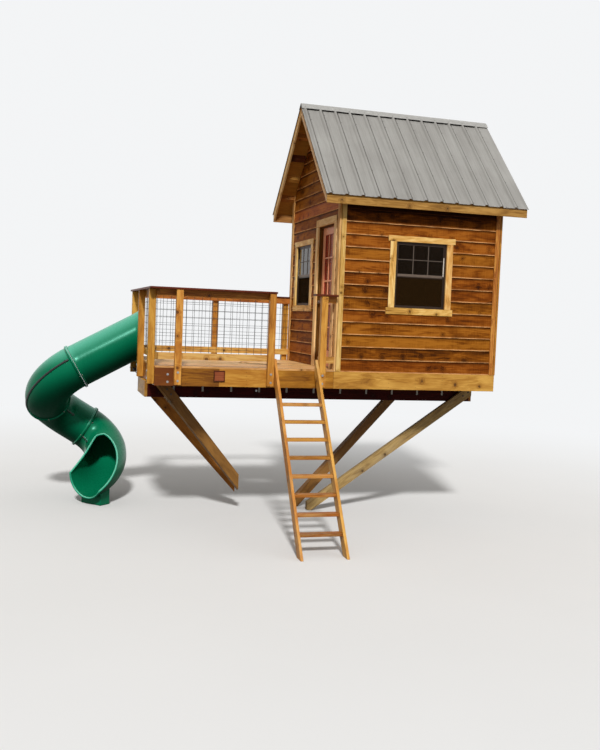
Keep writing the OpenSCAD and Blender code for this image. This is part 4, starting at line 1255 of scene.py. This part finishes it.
def make_door():
    """Fifteen-lite door in its lining, with casing, threshold, stops and knobs."""
    # The casing and threshold take a paler copy of the lumber, painted light
    boards = Boards(71)
    x0, x1 = CAB_X0 - TRIM_PROUD, SLAB_X0
    lap = 0.012
    y0, y1 = DOOR_Y, DOOR_Y + DOOR_W
    for a, b, c, d in ((y0 - TRIM_W, y0 + lap, JOIST_TOP, DOOR_H - lap),
                       (y1 - lap, y1 + TRIM_W, JOIST_TOP, DOOR_H - lap),
                       (y0 - TRIM_W, y1 + TRIM_W, DOOR_H - lap + 0.0005, DOOR_H + TRIM_W)):
        boards.box((x0, a, c), (x1, b, d), ease=0.003)
    boards.box((x0, y0 + lap + 0.0005, JOIST_TOP), (x1, y1 - lap - 0.0005, 0.005), tone=0.8)
    # The lining and its stops take painted shade, darker than the casing
    lining = Boards(72)
    for a, b, c, d in ((y0, y0 + 0.018, 0.0, DOOR_H), (y1 - 0.018, y1, 0.0, DOOR_H),
                       (y0 + 0.018, y1 - 0.018, DOOR_H - 0.018, DOOR_H)):
        lining.box((x1, a, c), (INNER_X0, b, d), ease=0.0015, tone=0.9)
    stop0, stop1 = x1 + 0.014, LEAF_X0 - 0.008
    for a, b, c, d in ((y0 + 0.018, y0 + 0.030, 0.005, DOOR_H - 0.030),
                       (y1 - 0.030, y1 - 0.018, 0.005, DOOR_H - 0.030),
                       (y0 + 0.018, y1 - 0.018, DOOR_H - 0.030, DOOR_H - 0.018)):
        lining.box((stop0, a, c), (stop1, b, d), ease=0.0015, tone=0.9)
    boards.piece("door_casing", DOOR_CASING_LIT, "gold_timber", ("door_frame",))
    lining.piece("door_lining", SHADED_LINING, "gold_timber", ("door_frame",))

    leaf, groove, pane_set = Metalwork(), Metalwork(), Metalwork()
    a0, a1, z0, z1 = 0.258, 0.966, 0.010, 2.004
    p0, p1, q0, q1 = a0 + 0.105, a1 - 0.105, z0 + 0.230, z1 - 0.105
    leaf.box((LEAF_X0, a0, z0), (LEAF_X1, p0, z1), 0.003)
    leaf.box((LEAF_X0, p1, z0), (LEAF_X1, a1, z1), 0.003)
    leaf.box((LEAF_X0 + 0.0006, p0, z0), (LEAF_X1 - 0.0006, p1, q0), 0.002)
    leaf.box((LEAF_X0 + 0.0006, p0, q1), (LEAF_X1 - 0.0006, p1, z1), 0.002)
    mid = (LEAF_X0 + LEAF_X1) / 2
    for x, side in ((LEAF_X0, 1), (LEAF_X1, -1)):
        near, far = sorted((x + side * 0.006, mid - side * 0.004))
        for k in (1, 2):
            y = p0 + (p1 - p0) * k / 3
            leaf.box((near, y - 0.011, q0), (far, y + 0.011, q1), 0.004)
        for k in range(1, 5):
            z = q0 + (q1 - q0) * k / 5
            leaf.box((near + 0.0004, p0, z - 0.011), (far, p1, z + 0.011), 0.004)
        # Glazing beads in deeper red: painted shade at each pane's edge
        for c, d, e, f in ((p0, p0 + 0.009, q0, q1), (p1 - 0.009, p1, q0, q1),
                           (p0, p1, q0, q0 + 0.009), (p0, p1, q1 - 0.009, q1)):
            groove.box((near, c, e), (far, d, f), 0.003)
    pane_set.box((mid - 0.003, p0 + 0.002, q0 + 0.002), (mid + 0.003, p1 - 0.002, q1 - 0.002), 0)
    leaf.piece("door_stiles_and_bars", CORAL, "coral_door", ("door_leaf",), "door")
    groove.piece("door_glazing_beads", CORAL_SHADE, "coral_door", (), "door")
    pane_set.piece("door_pane", DOOR_GLASS, "glass", ("door_glass",), "door")
    # Hinges, in the joint between leaf and lining
    hinge = Metalwork()
    for z in (0.24, 1.00, 1.78):
        hinge.box((2.5535, 0.2515, z - 0.045), (2.5590, 0.2575, z + 0.045), 0.002)
    hinge.piece("door_hinge_knuckles", BRONZE, "bronze_frame", (), "door")
    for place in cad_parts["door_knobs"].material_slots:
        place.material = KNOB


make_walls()
make_corner_boards()
make_window_casings()
make_windows()
make_door()


# Roof

def make_roof_frame():
    dress("rafters", JOIST_PALE, "gold_timber", 81)
    dress("fascias", FASCIA, "gold_timber", 82, tone=0.5)
    barge, looks, dark = Boards(83), Boards(84), Boards(87)
    blocks = []
    for solid in solids_of("rake_frames"):
        way = longest_way(solid)
        if way.length > 1.0:
            barge.take(solid, way, 0.003, 0.35)
        else:
            blocks.append((max(v.co.z for v in solid.verts), solid))
    # Of the blocks between rake and wall, those at one level high up take painted shade
    levels = sorted({round(top, 2) for top, _ in blocks}, reverse=True)
    for top, solid in blocks:
        board = dark if round(top, 2) == levels[2] else looks
        board.take(solid, (1, 0, 0), 0.002)
    barge.piece("barge_boards", BARGE, "gold_timber", ("rake_frames",))
    looks.piece("lookouts", SOFFIT, "gold_timber", ("rake_frames",))
    dark.piece("lookouts_in_painted_shade", LOOKOUT_SHADE, "gold_timber", ("rake_frames",))
    dress("roof_boards", SOFFIT, "dark_timber", 85, ease=0.001)


def rib_profile():
    """Section of the roof metal across its length: (x, height over the sheet's flat)."""
    points = [(ROOF_X0, -0.010), (ROOF_X0, 0.0)]
    for k in range(RIB_COUNT):
        x = ROOF_X0 + RIB_FIRST + k * RIB_STEP
        points += [(x - 0.030, 0.0), (x - 0.0135, 0.0175), (x - 0.0110, 0.0190),
                   (x + 0.0110, 0.0190), (x + 0.0135, 0.0175), (x + 0.030, 0.0)]
        if k < RIB_COUNT - 1:
            for share in (0.36, 0.64):
                m = x + RIB_STEP * share
                points += [(m - 0.010, 0.0), (m - 0.006, 0.0022), (m + 0.006, 0.0022),
                           (m + 0.010, 0.0)]
    points += [(ROOF_X0 + ROOF_L, 0.0), (ROOF_X0 + ROOF_L, -0.010)]
    return points


def shell_faces(n, rows):
    """Faces of a folded sheet: rows of n points on its outer face, then n on its inner one."""
    faces = []
    for a in range(0, (rows - 1) * 2 * n, 2 * n):
        b = a + 2 * n
        for i in range(n - 1):
            faces.append((a + i, a + i + 1, b + i + 1, b + i))
            faces.append((a + n + i + 1, a + n + i, b + n + i, b + n + i + 1))
        faces.append((a, b, b + n, a + n))
        faces.append((a + n - 1, a + 2 * n - 1, b + 2 * n - 1, b + n - 1))
    last = (rows - 1) * 2 * n
    for i in range(n - 1):
        faces.append((i, n + i, n + i + 1, i + 1))
        faces.append((last + i, last + i + 1, last + n + i + 1, last + n + i))
    return faces


def make_roof_metal():
    """Thin ribbed sheets that end open at the eaves, with a line of screws at each batten."""
    profile = rib_profile()
    up, out = Vector((0, DIAGONAL, DIAGONAL)), Vector((0, -DIAGONAL, DIAGONAL))
    start = Vector((0, -EAVE_OUT - 0.028 * DIAGONAL, 0))
    start.z = roof_z(start.y)
    length = (MID_Y - start.y) * math.sqrt(2) - 0.014
    stations = [0.0, length / 3, 2 * length / 3, length]
    spots = []
    for side in ("front", "rear"):
        def turn(p, side=side):
            return p if side == "front" else Vector((p.x, DECK_W - p.y, p.z))

        points = [turn(Vector((x, 0, 0)) + start + up * s + out * (h + layer))
                  for s in stations for layer in (0.0040, 0.0028) for x, h in profile]
        faces = shell_faces(len(profile), len(stations))
        if side == "rear":
            faces = [f[::-1] for f in faces]
        settle(side + "_roof_sheet", points, faces, ROOF, ("roof_metal",))
        for row in (0.05, 0.60, 1.15, 1.70, length - 0.19):
            for k in range(RIB_COUNT):
                x = ROOF_X0 + RIB_FIRST + k * RIB_STEP + 0.044
                spot = turn(Vector((x, 0, 0)) + start + up * row + out * 0.0040)
                way = Vector((0, out.y if side == "front" else -out.y, out.z))
                spots.append((tuple(spot), tuple(way)))
    heads("roof_screw_washers", spots, 0.0075, 0.0022, 10, ROOF_DARK, top=0.75)
    heads("roof_screw_heads", raised(spots, 0.0020), 0.0045, 0.0048, 6, ROOF, top=0.92)


def make_ridge_cap():
    """Folded cap with hemmed edges, screwed down on every rib."""
    under = roof_z(MID_Y) + drop(0.004 + RIB_H)
    reach = 0.112 * DIAGONAL
    t = 0.0012
    section = [(-reach, -reach + drop(0.003))]
    for share, rise in ((0.62, 0.003), (0.60, 0.008), (0.51, 0.008), (0.49, 0.003)):
        section.append((-reach * share, -reach * share + drop(rise)))
    section += [(-reach * 0.13, -reach * 0.13 + drop(0.003)),
                (-0.006, 0.0015 - 0.006 + drop(0.003)), (0.0, drop(0.003) - 0.0015)]
    section += [(-y, z) for y, z in section[-2::-1]]
    outer = section + [(reach, -reach - 0.0035), (reach - 0.009, -reach - 0.0035 + 0.007)]
    outer = [(-reach + 0.009, -reach - 0.0035 + 0.007), (-reach, -reach - 0.0035)] + outer
    inner = []
    for i, (y, z) in enumerate(outer):
        before, after = outer[max(i - 1, 0)], outer[min(i + 1, len(outer) - 1)]
        way = Vector((after[0] - before[0], after[1] - before[1])).normalized()
        inner.append((y + way.y * t, z - way.x * t))
    points = [(x, MID_Y + y, under + z) for x in (ROOF_X0, ROOF_X0 + ROOF_L)
              for y, z in outer + inner]
    settle("ridge_cap_sheet", points, shell_faces(len(outer), 2), ROOF_CAP,
           ("ridge_cap",))
    spots = []
    for side in (-1, 1):
        for k in range(RIB_COUNT):
            x = ROOF_X0 + RIB_FIRST + k * RIB_STEP
            spot = (x, MID_Y + side * (reach - 0.020), under - (reach - 0.020) + drop(0.003))
            spots.append((spot, (0, side * DIAGONAL, DIAGONAL)))
    heads("cap_screw_heads", spots, 0.0055, 0.0055, 8, ROOF, top=0.85)
    # Dark foam fills the hollows between the ribs and shows a little below the cap, where
    # its near black paints the shade of the gap under the cap's edge
    foam = Boards(86)
    run = reach * math.sqrt(2)
    for side in (-1, 1):
        for k in range(RIB_COUNT - 1):
            middle = ROOF_X0 + RIB_FIRST + (k + 0.5) * RIB_STEP
            corners = []
            for end in (-1, 1):
                for s in (run - 0.040, run + 0.014):
                    for h, inset in ((-0.0160, 0.0285), (-0.0010, 0.0155)):
                        across = Vector((s + h, h - s)) * DIAGONAL
                        corners.append((middle + end * (RIB_STEP / 2 - inset),
                                        MID_Y + side * across.x, under + across.y))
            foam.solid(corners, BOX_FACES, (1, 0, 0), 0.002)
    foam.piece("ridge_closures_and_gap_shade", FOAM_AND_GAP_SHADE, "roof_metal")


make_roof_frame()
make_roof_metal()
make_ridge_cap()


# Ladder and railing

def ladder_y(z):
    """Front edge of the ladder's side boards at a height."""
    return -0.020 + (z - 0.130) / math.tan(LADDER_SLOPE)


def make_ladder():
    dress("ladder_sides", LADDER, "gold_timber", 91, ease=0.005,
          along=(0, math.cos(LADDER_SLOPE), math.sin(LADDER_SLOPE)))
    dress("ladder_treads", TREAD, "gold_timber", 92, ease=0.005, along=(1, 0, 0))
    spots = []
    for k in range(8):
        z = -0.431 - 0.211 * k - 0.019
        front = ladder_y(z + 0.019) + 0.012
        for x, way in ((1.580, LEFT), (2.200, RIGHT)):
            spots += grid(way, (x,), [front + 0.118 * share for share in (0.25, 0.72)], (z,))
    heads("ladder_screws", spots, 0.0048, 0.0016, 8, ZINC, top=0.75)


def make_railing():
    dress("railing_posts", POST, "gold_timber", 101, ease=0.005, along=(0, 0, 1))
    low, top = Boards(102), Boards(103)
    for solid in solids_of("rails"):
        (low if middle_of(solid).z < 0.5 else top).take(solid, longest_way(solid), 0.004)
    low.piece("lower_rails", PALE, "gold_timber", ("rails",))
    top.piece("upper_rails", GOLD, "gold_timber", ("rails",))
    dress("rail_caps", CAP, "dark_timber", 104, ease=0.005)
    out, half = 0.045, 0.028
    spots = grid(UP, (0.06, 0.29, 0.68, 1.08, 1.53, 2.16, 2.25, 2.39), (-out - half, half - out),
                 (RAIL_TOP,))
    spots += grid(UP, (-out,), [y + dy for y in (0.10, 0.72, 1.37, 1.85, 2.33)
                                for dy in (-half, half)], (RAIL_TOP,))
    spots += grid(UP, (0.05, 0.62, 1.235, 1.80, 2.38),
                  (DECK_W + out - half, DECK_W + out + half), (RAIL_TOP,))
    heads("cap_screws", spots, 0.0042, 0.0012, 8, BRONZE)


def make_wire():
    """Welded wire panels between the rails."""
    quarter = Matrix.Rotation(math.pi / 2, 4, "Z")
    for name, length, turn, node in (
            ("front_wire_panel", 1.531, Matrix.Translation((0.039, 0.019, 0.175)), "front_mesh"),
            ("left_wire_panel", 1.415, Matrix.Translation((0.019, 0.0, 0.175)) @ quarter,
             "left_mesh"),
            ("rear_wire_panel", 2.432, Matrix.Translation((0.0, DECK_W - 0.019, 0.175)),
             "rear_mesh")):
        mesh = grown(WIRES, [(0, 0, 0)], {"Length": length, "Height": 0.730,
                                          "Spacing": 0.1016, "Wire radius": 0.0026,
                                          "Finish": BLACK})
        mesh.transform(turn)
        piece_of(name, mesh, replaces=(node,))


def make_plaque():
    """The bare plate on the front rim, in its darker frame."""
    frame_part = Boards(111)
    x0, x1, z0, z1 = 0.774, 0.926, -0.196, -0.048
    for low, high in (((x0, z0), (x1, z0 + 0.014)), ((x0, z1 - 0.014), (x1, z1)),
                      ((x0, z0 + 0.0145), (x0 + 0.014, z1 - 0.0145)),
                      ((x1 - 0.014, z0 + 0.0145), (x1, z1 - 0.0145))):
        frame_part.box((low[0], -0.014, low[1]), (high[0], -0.0004, high[1]), ease=0.003)
    frame_part.piece("plate_frame", CAP, "dark_timber")
    plate = Boards(112)
    plate.box((x0 + 0.0145, -0.008, z0 + 0.0145), (x1 - 0.0145, -0.0006, z1 - 0.0145),
              along=(1, 0, 0), ease=0.001)
    plate.piece("bare_plate", PLAQUE, "gold_timber")


# Slide

MOULD_SIDES = 72


def heading(turn, fall):
    turn, fall = math.radians(turn), math.radians(fall)
    return Vector((math.cos(turn) * math.cos(fall), math.sin(turn) * math.cos(fall),
                   -math.sin(fall)))


def bend_step(a, b, r):
    return (a + b) * r * math.tan(a.angle(b) / 2)


HEADINGS = [heading(180, 28.8), heading(74, 25), heading(2, 32), heading(-86, 29),
            heading(-138, 8)]
UPPER_R, LOWER_R, EXIT_R, CHUTE_R = 0.595, 0.505, 0.438, 0.950
SHORT_RUN = 0.270
LIP_H = 0.418


class Bend:
    """An arc of the slide's centre line from a point, between two headings."""

    def __init__(self, at, a, b, r):
        self.a, self.r, self.turn = a, r, a.angle(b)
        self.up = a.cross(b).normalized()
        self.out = a.cross(self.up)
        self.centre = at - self.out * r
        self.length = r * self.turn
        self.end = at + bend_step(a, b, r)

    def outward(self, s):
        return self.out * math.cos(s / self.r) + self.a * math.sin(s / self.r)

    def along(self, s):
        return self.a * math.cos(s / self.r) - self.out * math.sin(s / self.r)

    def __call__(self, s):
        return self.centre + self.outward(s) * self.r


class Run:
    """A straight stretch of the slide's centre line."""

    def __init__(self, at, a, length):
        self.at, self.a, self.length, self.end = at, a, length, at + a * length
        self.up = a.cross(Vector((0, 0, 1))).normalized()

    def outward(self, s):
        return self.a.cross(self.up)

    def along(self, s):
        return self.a

    def __call__(self, s):
        return self.at + self.a * s


def slide_path():
    h = HEADINGS
    start = Vector((SLIDE_X, SLIDE_Y, SLIDE_Z))
    turns = (bend_step(h[0], h[1], UPPER_R) + bend_step(h[1], h[2], LOWER_R)
             + h[2] * SHORT_RUN + bend_step(h[2], h[3], EXIT_R) + bend_step(h[3], h[4], CHUTE_R))
    run = (start.z + turns.z + DECK_H - LIP_H) / -h[0].z
    straight = Run(start, h[0], run)
    upper = Bend(straight.end, h[0], h[1], UPPER_R)
    lower = Bend(upper.end, h[1], h[2], LOWER_R)
    short = Run(lower.end, h[2], SHORT_RUN)
    leave = Bend(short.end, h[2], h[3], EXIT_R)
    chute = Bend(leave.end, h[3], h[4], CHUTE_R)
    return straight, upper, lower, short, leave, chute


# Distance from a joint, and how far the joint's flange stands out of the tube there
FLANGE = [(0.0016, -TUBE_WALL), (0.0018, 0.0185), (0.0040, 0.0232), (0.0120, 0.0240),
          (0.0160, 0.0228), (0.0195, 0.0170), (0.0218, 0.0060), (0.0250, 0.0015),
          (0.0330, 0.0)]
PLAIN_END = [(0.0, -TUBE_WALL), (0.0004, 0.0)]


def moulding(line, ring_start, ring_end, step=0.04, low=0.0):
    """The mesh of one moulding along a line."""
    first = FLANGE if ring_start else PLAIN_END
    last = FLANGE if ring_end else PLAIN_END
    stations = [(low + s, out) for s, out in first]
    a, b = stations[-1][0], line.length - last[-1][0]
    count = max(2, int((b - a) / step))
    stations += [(a + (b - a) * i / count, 0.0) for i in range(1, count)]
    stations += [(line.length - s, out) for s, out in reversed(last)]
    points = [line(s) for s, _ in stations]
    return grown(TUBES, points, {"Outer radius": TUBE_R, "Wall": TUBE_WALL,
                                 "Sides": MOULD_SIDES, "Finish": GREEN},
                 swell=[(TUBE_R + out) / TUBE_R for _, out in stations], chain=True)


def moulded_piece(name, mesh, nodes, finish=None):
    piece_of(name, mesh, replaces=nodes, finish=finish)
    mesh.polygons.foreach_set("use_smooth", [True] * len(mesh.polygons))
    mesh.set_sharp_from_angle(angle=math.radians(50))


def bead(points, radius, finish, closed=False, sides=12):
    return grown(BEADS, points, {"Bead radius": radius, "Sides": sides, "Finish": finish},
                 chain=True, closed=closed)


def reworked(mesh, work):
    bm = bmesh.new()
    bm.from_mesh(mesh)
    work(bm)
    bm.to_mesh(mesh)
    bm.free()


def cut_off(bm, spot, normal):
    """Takes away what lies beyond a plane and gives what it cut."""
    return bmesh.ops.bisect_plane(bm, geom=bm.verts[:] + bm.edges[:] + bm.faces[:],
                                  plane_co=spot, plane_no=normal,
                                  clear_outer=True)["geom_cut"]


def make_slide_tube():
    straight, upper, lower, short, leave, chute = slide_path()
    whole = Run(straight.at - straight.a * 0.45, straight.a, straight.length + 0.45)
    mesh = moulding(whole, False, True, step=0.06)
    reworked(mesh, lambda bm: cut_off(bm, (-0.004, 0, 0), (1, 0, 0)))
    moulded_piece("slide_straight_tube", mesh, ("slide_tube",))
    moulded_piece("slide_upper_elbow", moulding(upper, True, True), ("slide_upper_bend",))
    moulded_piece("slide_lower_elbow", moulding(lower, True, False), ("slide_lower_bend",))
    moulded_piece("slide_short_length", moulding(short, False, True), ("slide_short_tube",))
    moulded_piece("slide_exit_elbow", moulding(leave, True, False), ("slide_exit_bend",),
                  GREEN_CHUTE)

    # Each elbow is two shells, bolted along flanges in the plane of its turn. A black gasket
    # bead in each seam, thickest on the upper elbow, also paints the shadow of the gap between
    # them
    beads, gaskets_and_seam_shade, bolts, seam_bolts = [], [], [], []
    for line, start, end in ((upper, 0.034, 0.034), (lower, 0.034, 0.004), (leave, 0.034, 0.004)):
        for side in (1, -1):
            count = max(6, int(line.length / 0.03))
            span = [start + (line.length - start - end) * i / count for i in range(count + 1)]
            edge = [line(s) + line.outward(s) * side * (TUBE_R + 0.004) for s in span]
            for lift in (-0.0092, 0.0092):
                beads.append(bead([p + line.up * lift for p in edge], 0.0080, GREEN))
            middle = [line(s) + line.outward(s) * side * (TUBE_R + 0.0065) for s in span]
            gaskets_and_seam_shade.append(bead(middle, 0.0145 if line is upper else 0.0100, BLACK, sides=8))
            number = max(2, int((line.length - 0.12) / 0.16))
            for i in range(number + 1):
                s = 0.07 + (line.length - 0.14) * i / number
                for way in (-1, 1):
                    spot = line(s) + line.outward(s) * side * (TUBE_R + 0.006) \
                        + line.up * way * 0.0165
                    seam_bolts.append((spot, line.up * way))
    moulded_piece("elbow_flanges", join_meshes(beads), (), GREEN)
    piece_of("elbow_gaskets", join_meshes(gaskets_and_seam_shade), finish=BLACK)
    for line in (straight, upper, short):
        s = line.length
        for k in range(8):
            angle = math.radians(22.5 + 45 * k)
            ray = line.outward(s) * math.cos(angle) + line.up * math.sin(angle)
            for way in (-1, 1):
                spot = line(s) + ray * (TUBE_R + 0.0125) + line.along(s) * way * 0.0195
                bolts.append((spot, line.along(s) * way))
    heads("slide_bolts", bolts, 0.0095, 0.0075, 6, DULL_ZINC, top=0.9)
    heads("slide_seam_bolts", seam_bolts, 0.0080, 0.0065, 6, BLACK_STEEL, top=0.9)
    return straight, chute


def make_chute(chute):
    """The open end: a bend cut off along a slant, with a rolled edge all round."""
    travel = chute.end - chute(0)
    mouth_up, lip_down = 0.425, 0.090
    flat = math.hypot(travel.x, travel.y)
    fall = math.atan2(mouth_up + lip_down - travel.z, flat)
    normal = Vector((travel.x / flat * math.sin(fall), travel.y / flat * math.sin(fall),
                     math.cos(fall)))
    corner = chute(0) + Vector((0, 0, mouth_up))
    mesh = moulding(chute, False, False)

    def open_up(bm):
        rim = [e for e in cut_off(bm, corner, normal) if isinstance(e, bmesh.types.BMEdge)]
        bmesh.ops.triangle_fill(bm, use_beauty=True, edges=rim)
        bmesh.ops.recalc_face_normals(bm, faces=bm.faces)

    reworked(mesh, open_up)
    moulded_piece("slide_open_chute", mesh, ("slide_chute",), GREEN_CHUTE)

    def wall(s, angle):
        return chute(s) + (chute.outward(s) * math.cos(angle) + chute.up * math.sin(angle)) \
            * (TUBE_R - TUBE_WALL / 2)

    def over(s, angle):
        return (wall(s, angle) - corner).dot(normal)

    count = 120
    angles = [2 * math.pi * i / count for i in range(count)]
    cut_away = [over(chute.length, a) > 0 for a in angles]
    first = next(i for i in range(count) if cut_away[i] and not cut_away[i - 1])
    arch, lip = [], []
    for i in range(first, first + count):
        a = angles[i % count]
        if cut_away[i % count]:
            low, high = 0.0, chute.length
            for _ in range(40):
                mid = (low + high) / 2
                low, high = (low, mid) if over(mid, a) > 0 else (mid, high)
            arch.append(wall(low, a))
        else:
            lip.append(wall(chute.length, a))
    edge = bead(arch + lip, 0.0150, GREEN_RIM, closed=True)
    moulded_piece("chute_rolled_edge", edge, (), GREEN_RIM)


def make_slide_plate(straight):
    """The plate on the railing that the tube leaves by, with a raised border and a flared neck."""
    corner, half = 0.090, 0.425
    middle_z = SLIDE_Z - 0.070
    slope = -straight.a.z / -straight.a.x
    bore = TUBE_R - TUBE_WALL
    count = 128

    def border(angle, inset):
        """Rounded square's edge from the plate's middle, pulled in by an inset."""
        c, s = math.cos(angle), math.sin(angle)
        h, r = half - inset, max(corner - inset, 0.02)
        reach = h / max(abs(c), abs(s))
        y, z = c * reach, s * reach
        if abs(y) > h - r and abs(z) > h - r:
            ky, kz = (h - r) * math.copysign(1, y), (h - r) * math.copysign(1, z)
            b = c * ky + s * kz
            reach = b + math.sqrt(max(b * b - (ky * ky + kz * kz - r * r), 0))
            y, z = c * reach, s * reach
        return SLIDE_Y + y, middle_z + z

    def hole(angle, x, grow):
        c, s = math.cos(angle), math.sin(angle)
        middle = SLIDE_Z + (x - SLIDE_X) * slope
        return SLIDE_Y + bore * grow * c, middle + bore * grow * s / -straight.a.x

    loops = []
    angles = [2 * math.pi * i / count for i in range(count)]
    for x, inset in ((-0.0005, 0.0), (-0.0090, 0.0), (-0.0125, 0.0025), (-0.0138, 0.007),
                     (-0.0138, 0.018), (-0.0122, 0.023), (-0.0095, 0.026)):
        loops.append([(x,) + border(a, inset) for a in angles])
    for x, grow in ((-0.0095, 1.16), (-0.0105, 1.135), (-0.0150, 1.105), (-0.0260, 1.075),
                    (-0.0480, 1.048), (-0.0800, 1.036), (-0.1050, 1.031), (-0.1050, 1.022)):
        loops.append([(x,) + hole(a, x, grow) for a in angles])
    loops.append([(-0.0005,) + hole(a, -0.0005, 1.0) for a in angles])
    points = [p for loop in loops for p in loop]
    faces = []
    rows = len(loops)
    for r in range(rows):
        a, b = r * count, ((r + 1) % rows) * count
        for i in range(count):
            j = (i + 1) % count
            faces.append((a + i, b + i, b + j, a + j))
    piece = settle("slide_start_plate", points, faces, GREEN,
                   ("slide_plate",), smooth=True)
    reworked(piece.data, lambda bm: bmesh.ops.recalc_face_normals(bm, faces=bm.faces))
    piece.data.set_sharp_from_angle(angle=math.radians(40))
    spots = []
    for shifts_y, shifts_z in (((-0.30, 0.0, 0.30), (-0.385, 0.385)),
                               ((-0.385, 0.385), (-0.30, 0.0, 0.30))):
        spots += grid(LEFT, (-0.0095,), [SLIDE_Y + y for y in shifts_y],
                      [middle_z + z for z in shifts_z])
    heads("plate_bolts", spots, 0.0125, 0.0060, 8, ZINC, top=0.85)
    bracket = Metalwork()
    bracket.box((-0.060, 2.180, -0.215), (-0.0005, 2.330, -0.176), 0.003)
    bracket.box((-0.006, 2.180, -0.255), (-0.0005, 2.330, -0.214), 0.001)
    bracket.piece("plate_bracket", BLACK_STEEL)


def make_foot():
    foot = Metalwork()
    for solid in solids_of("slide_foot"):
        foot.add(solid, 0.008)
    foot.piece("slide_foot_block", GREEN, "green_plastic", ("slide_foot",))


make_ladder()
make_railing()
make_wire()
make_plaque()
tube_line, chute_line = make_slide_tube()
make_chute(chute_line)
make_slide_plate(tube_line)
make_foot()
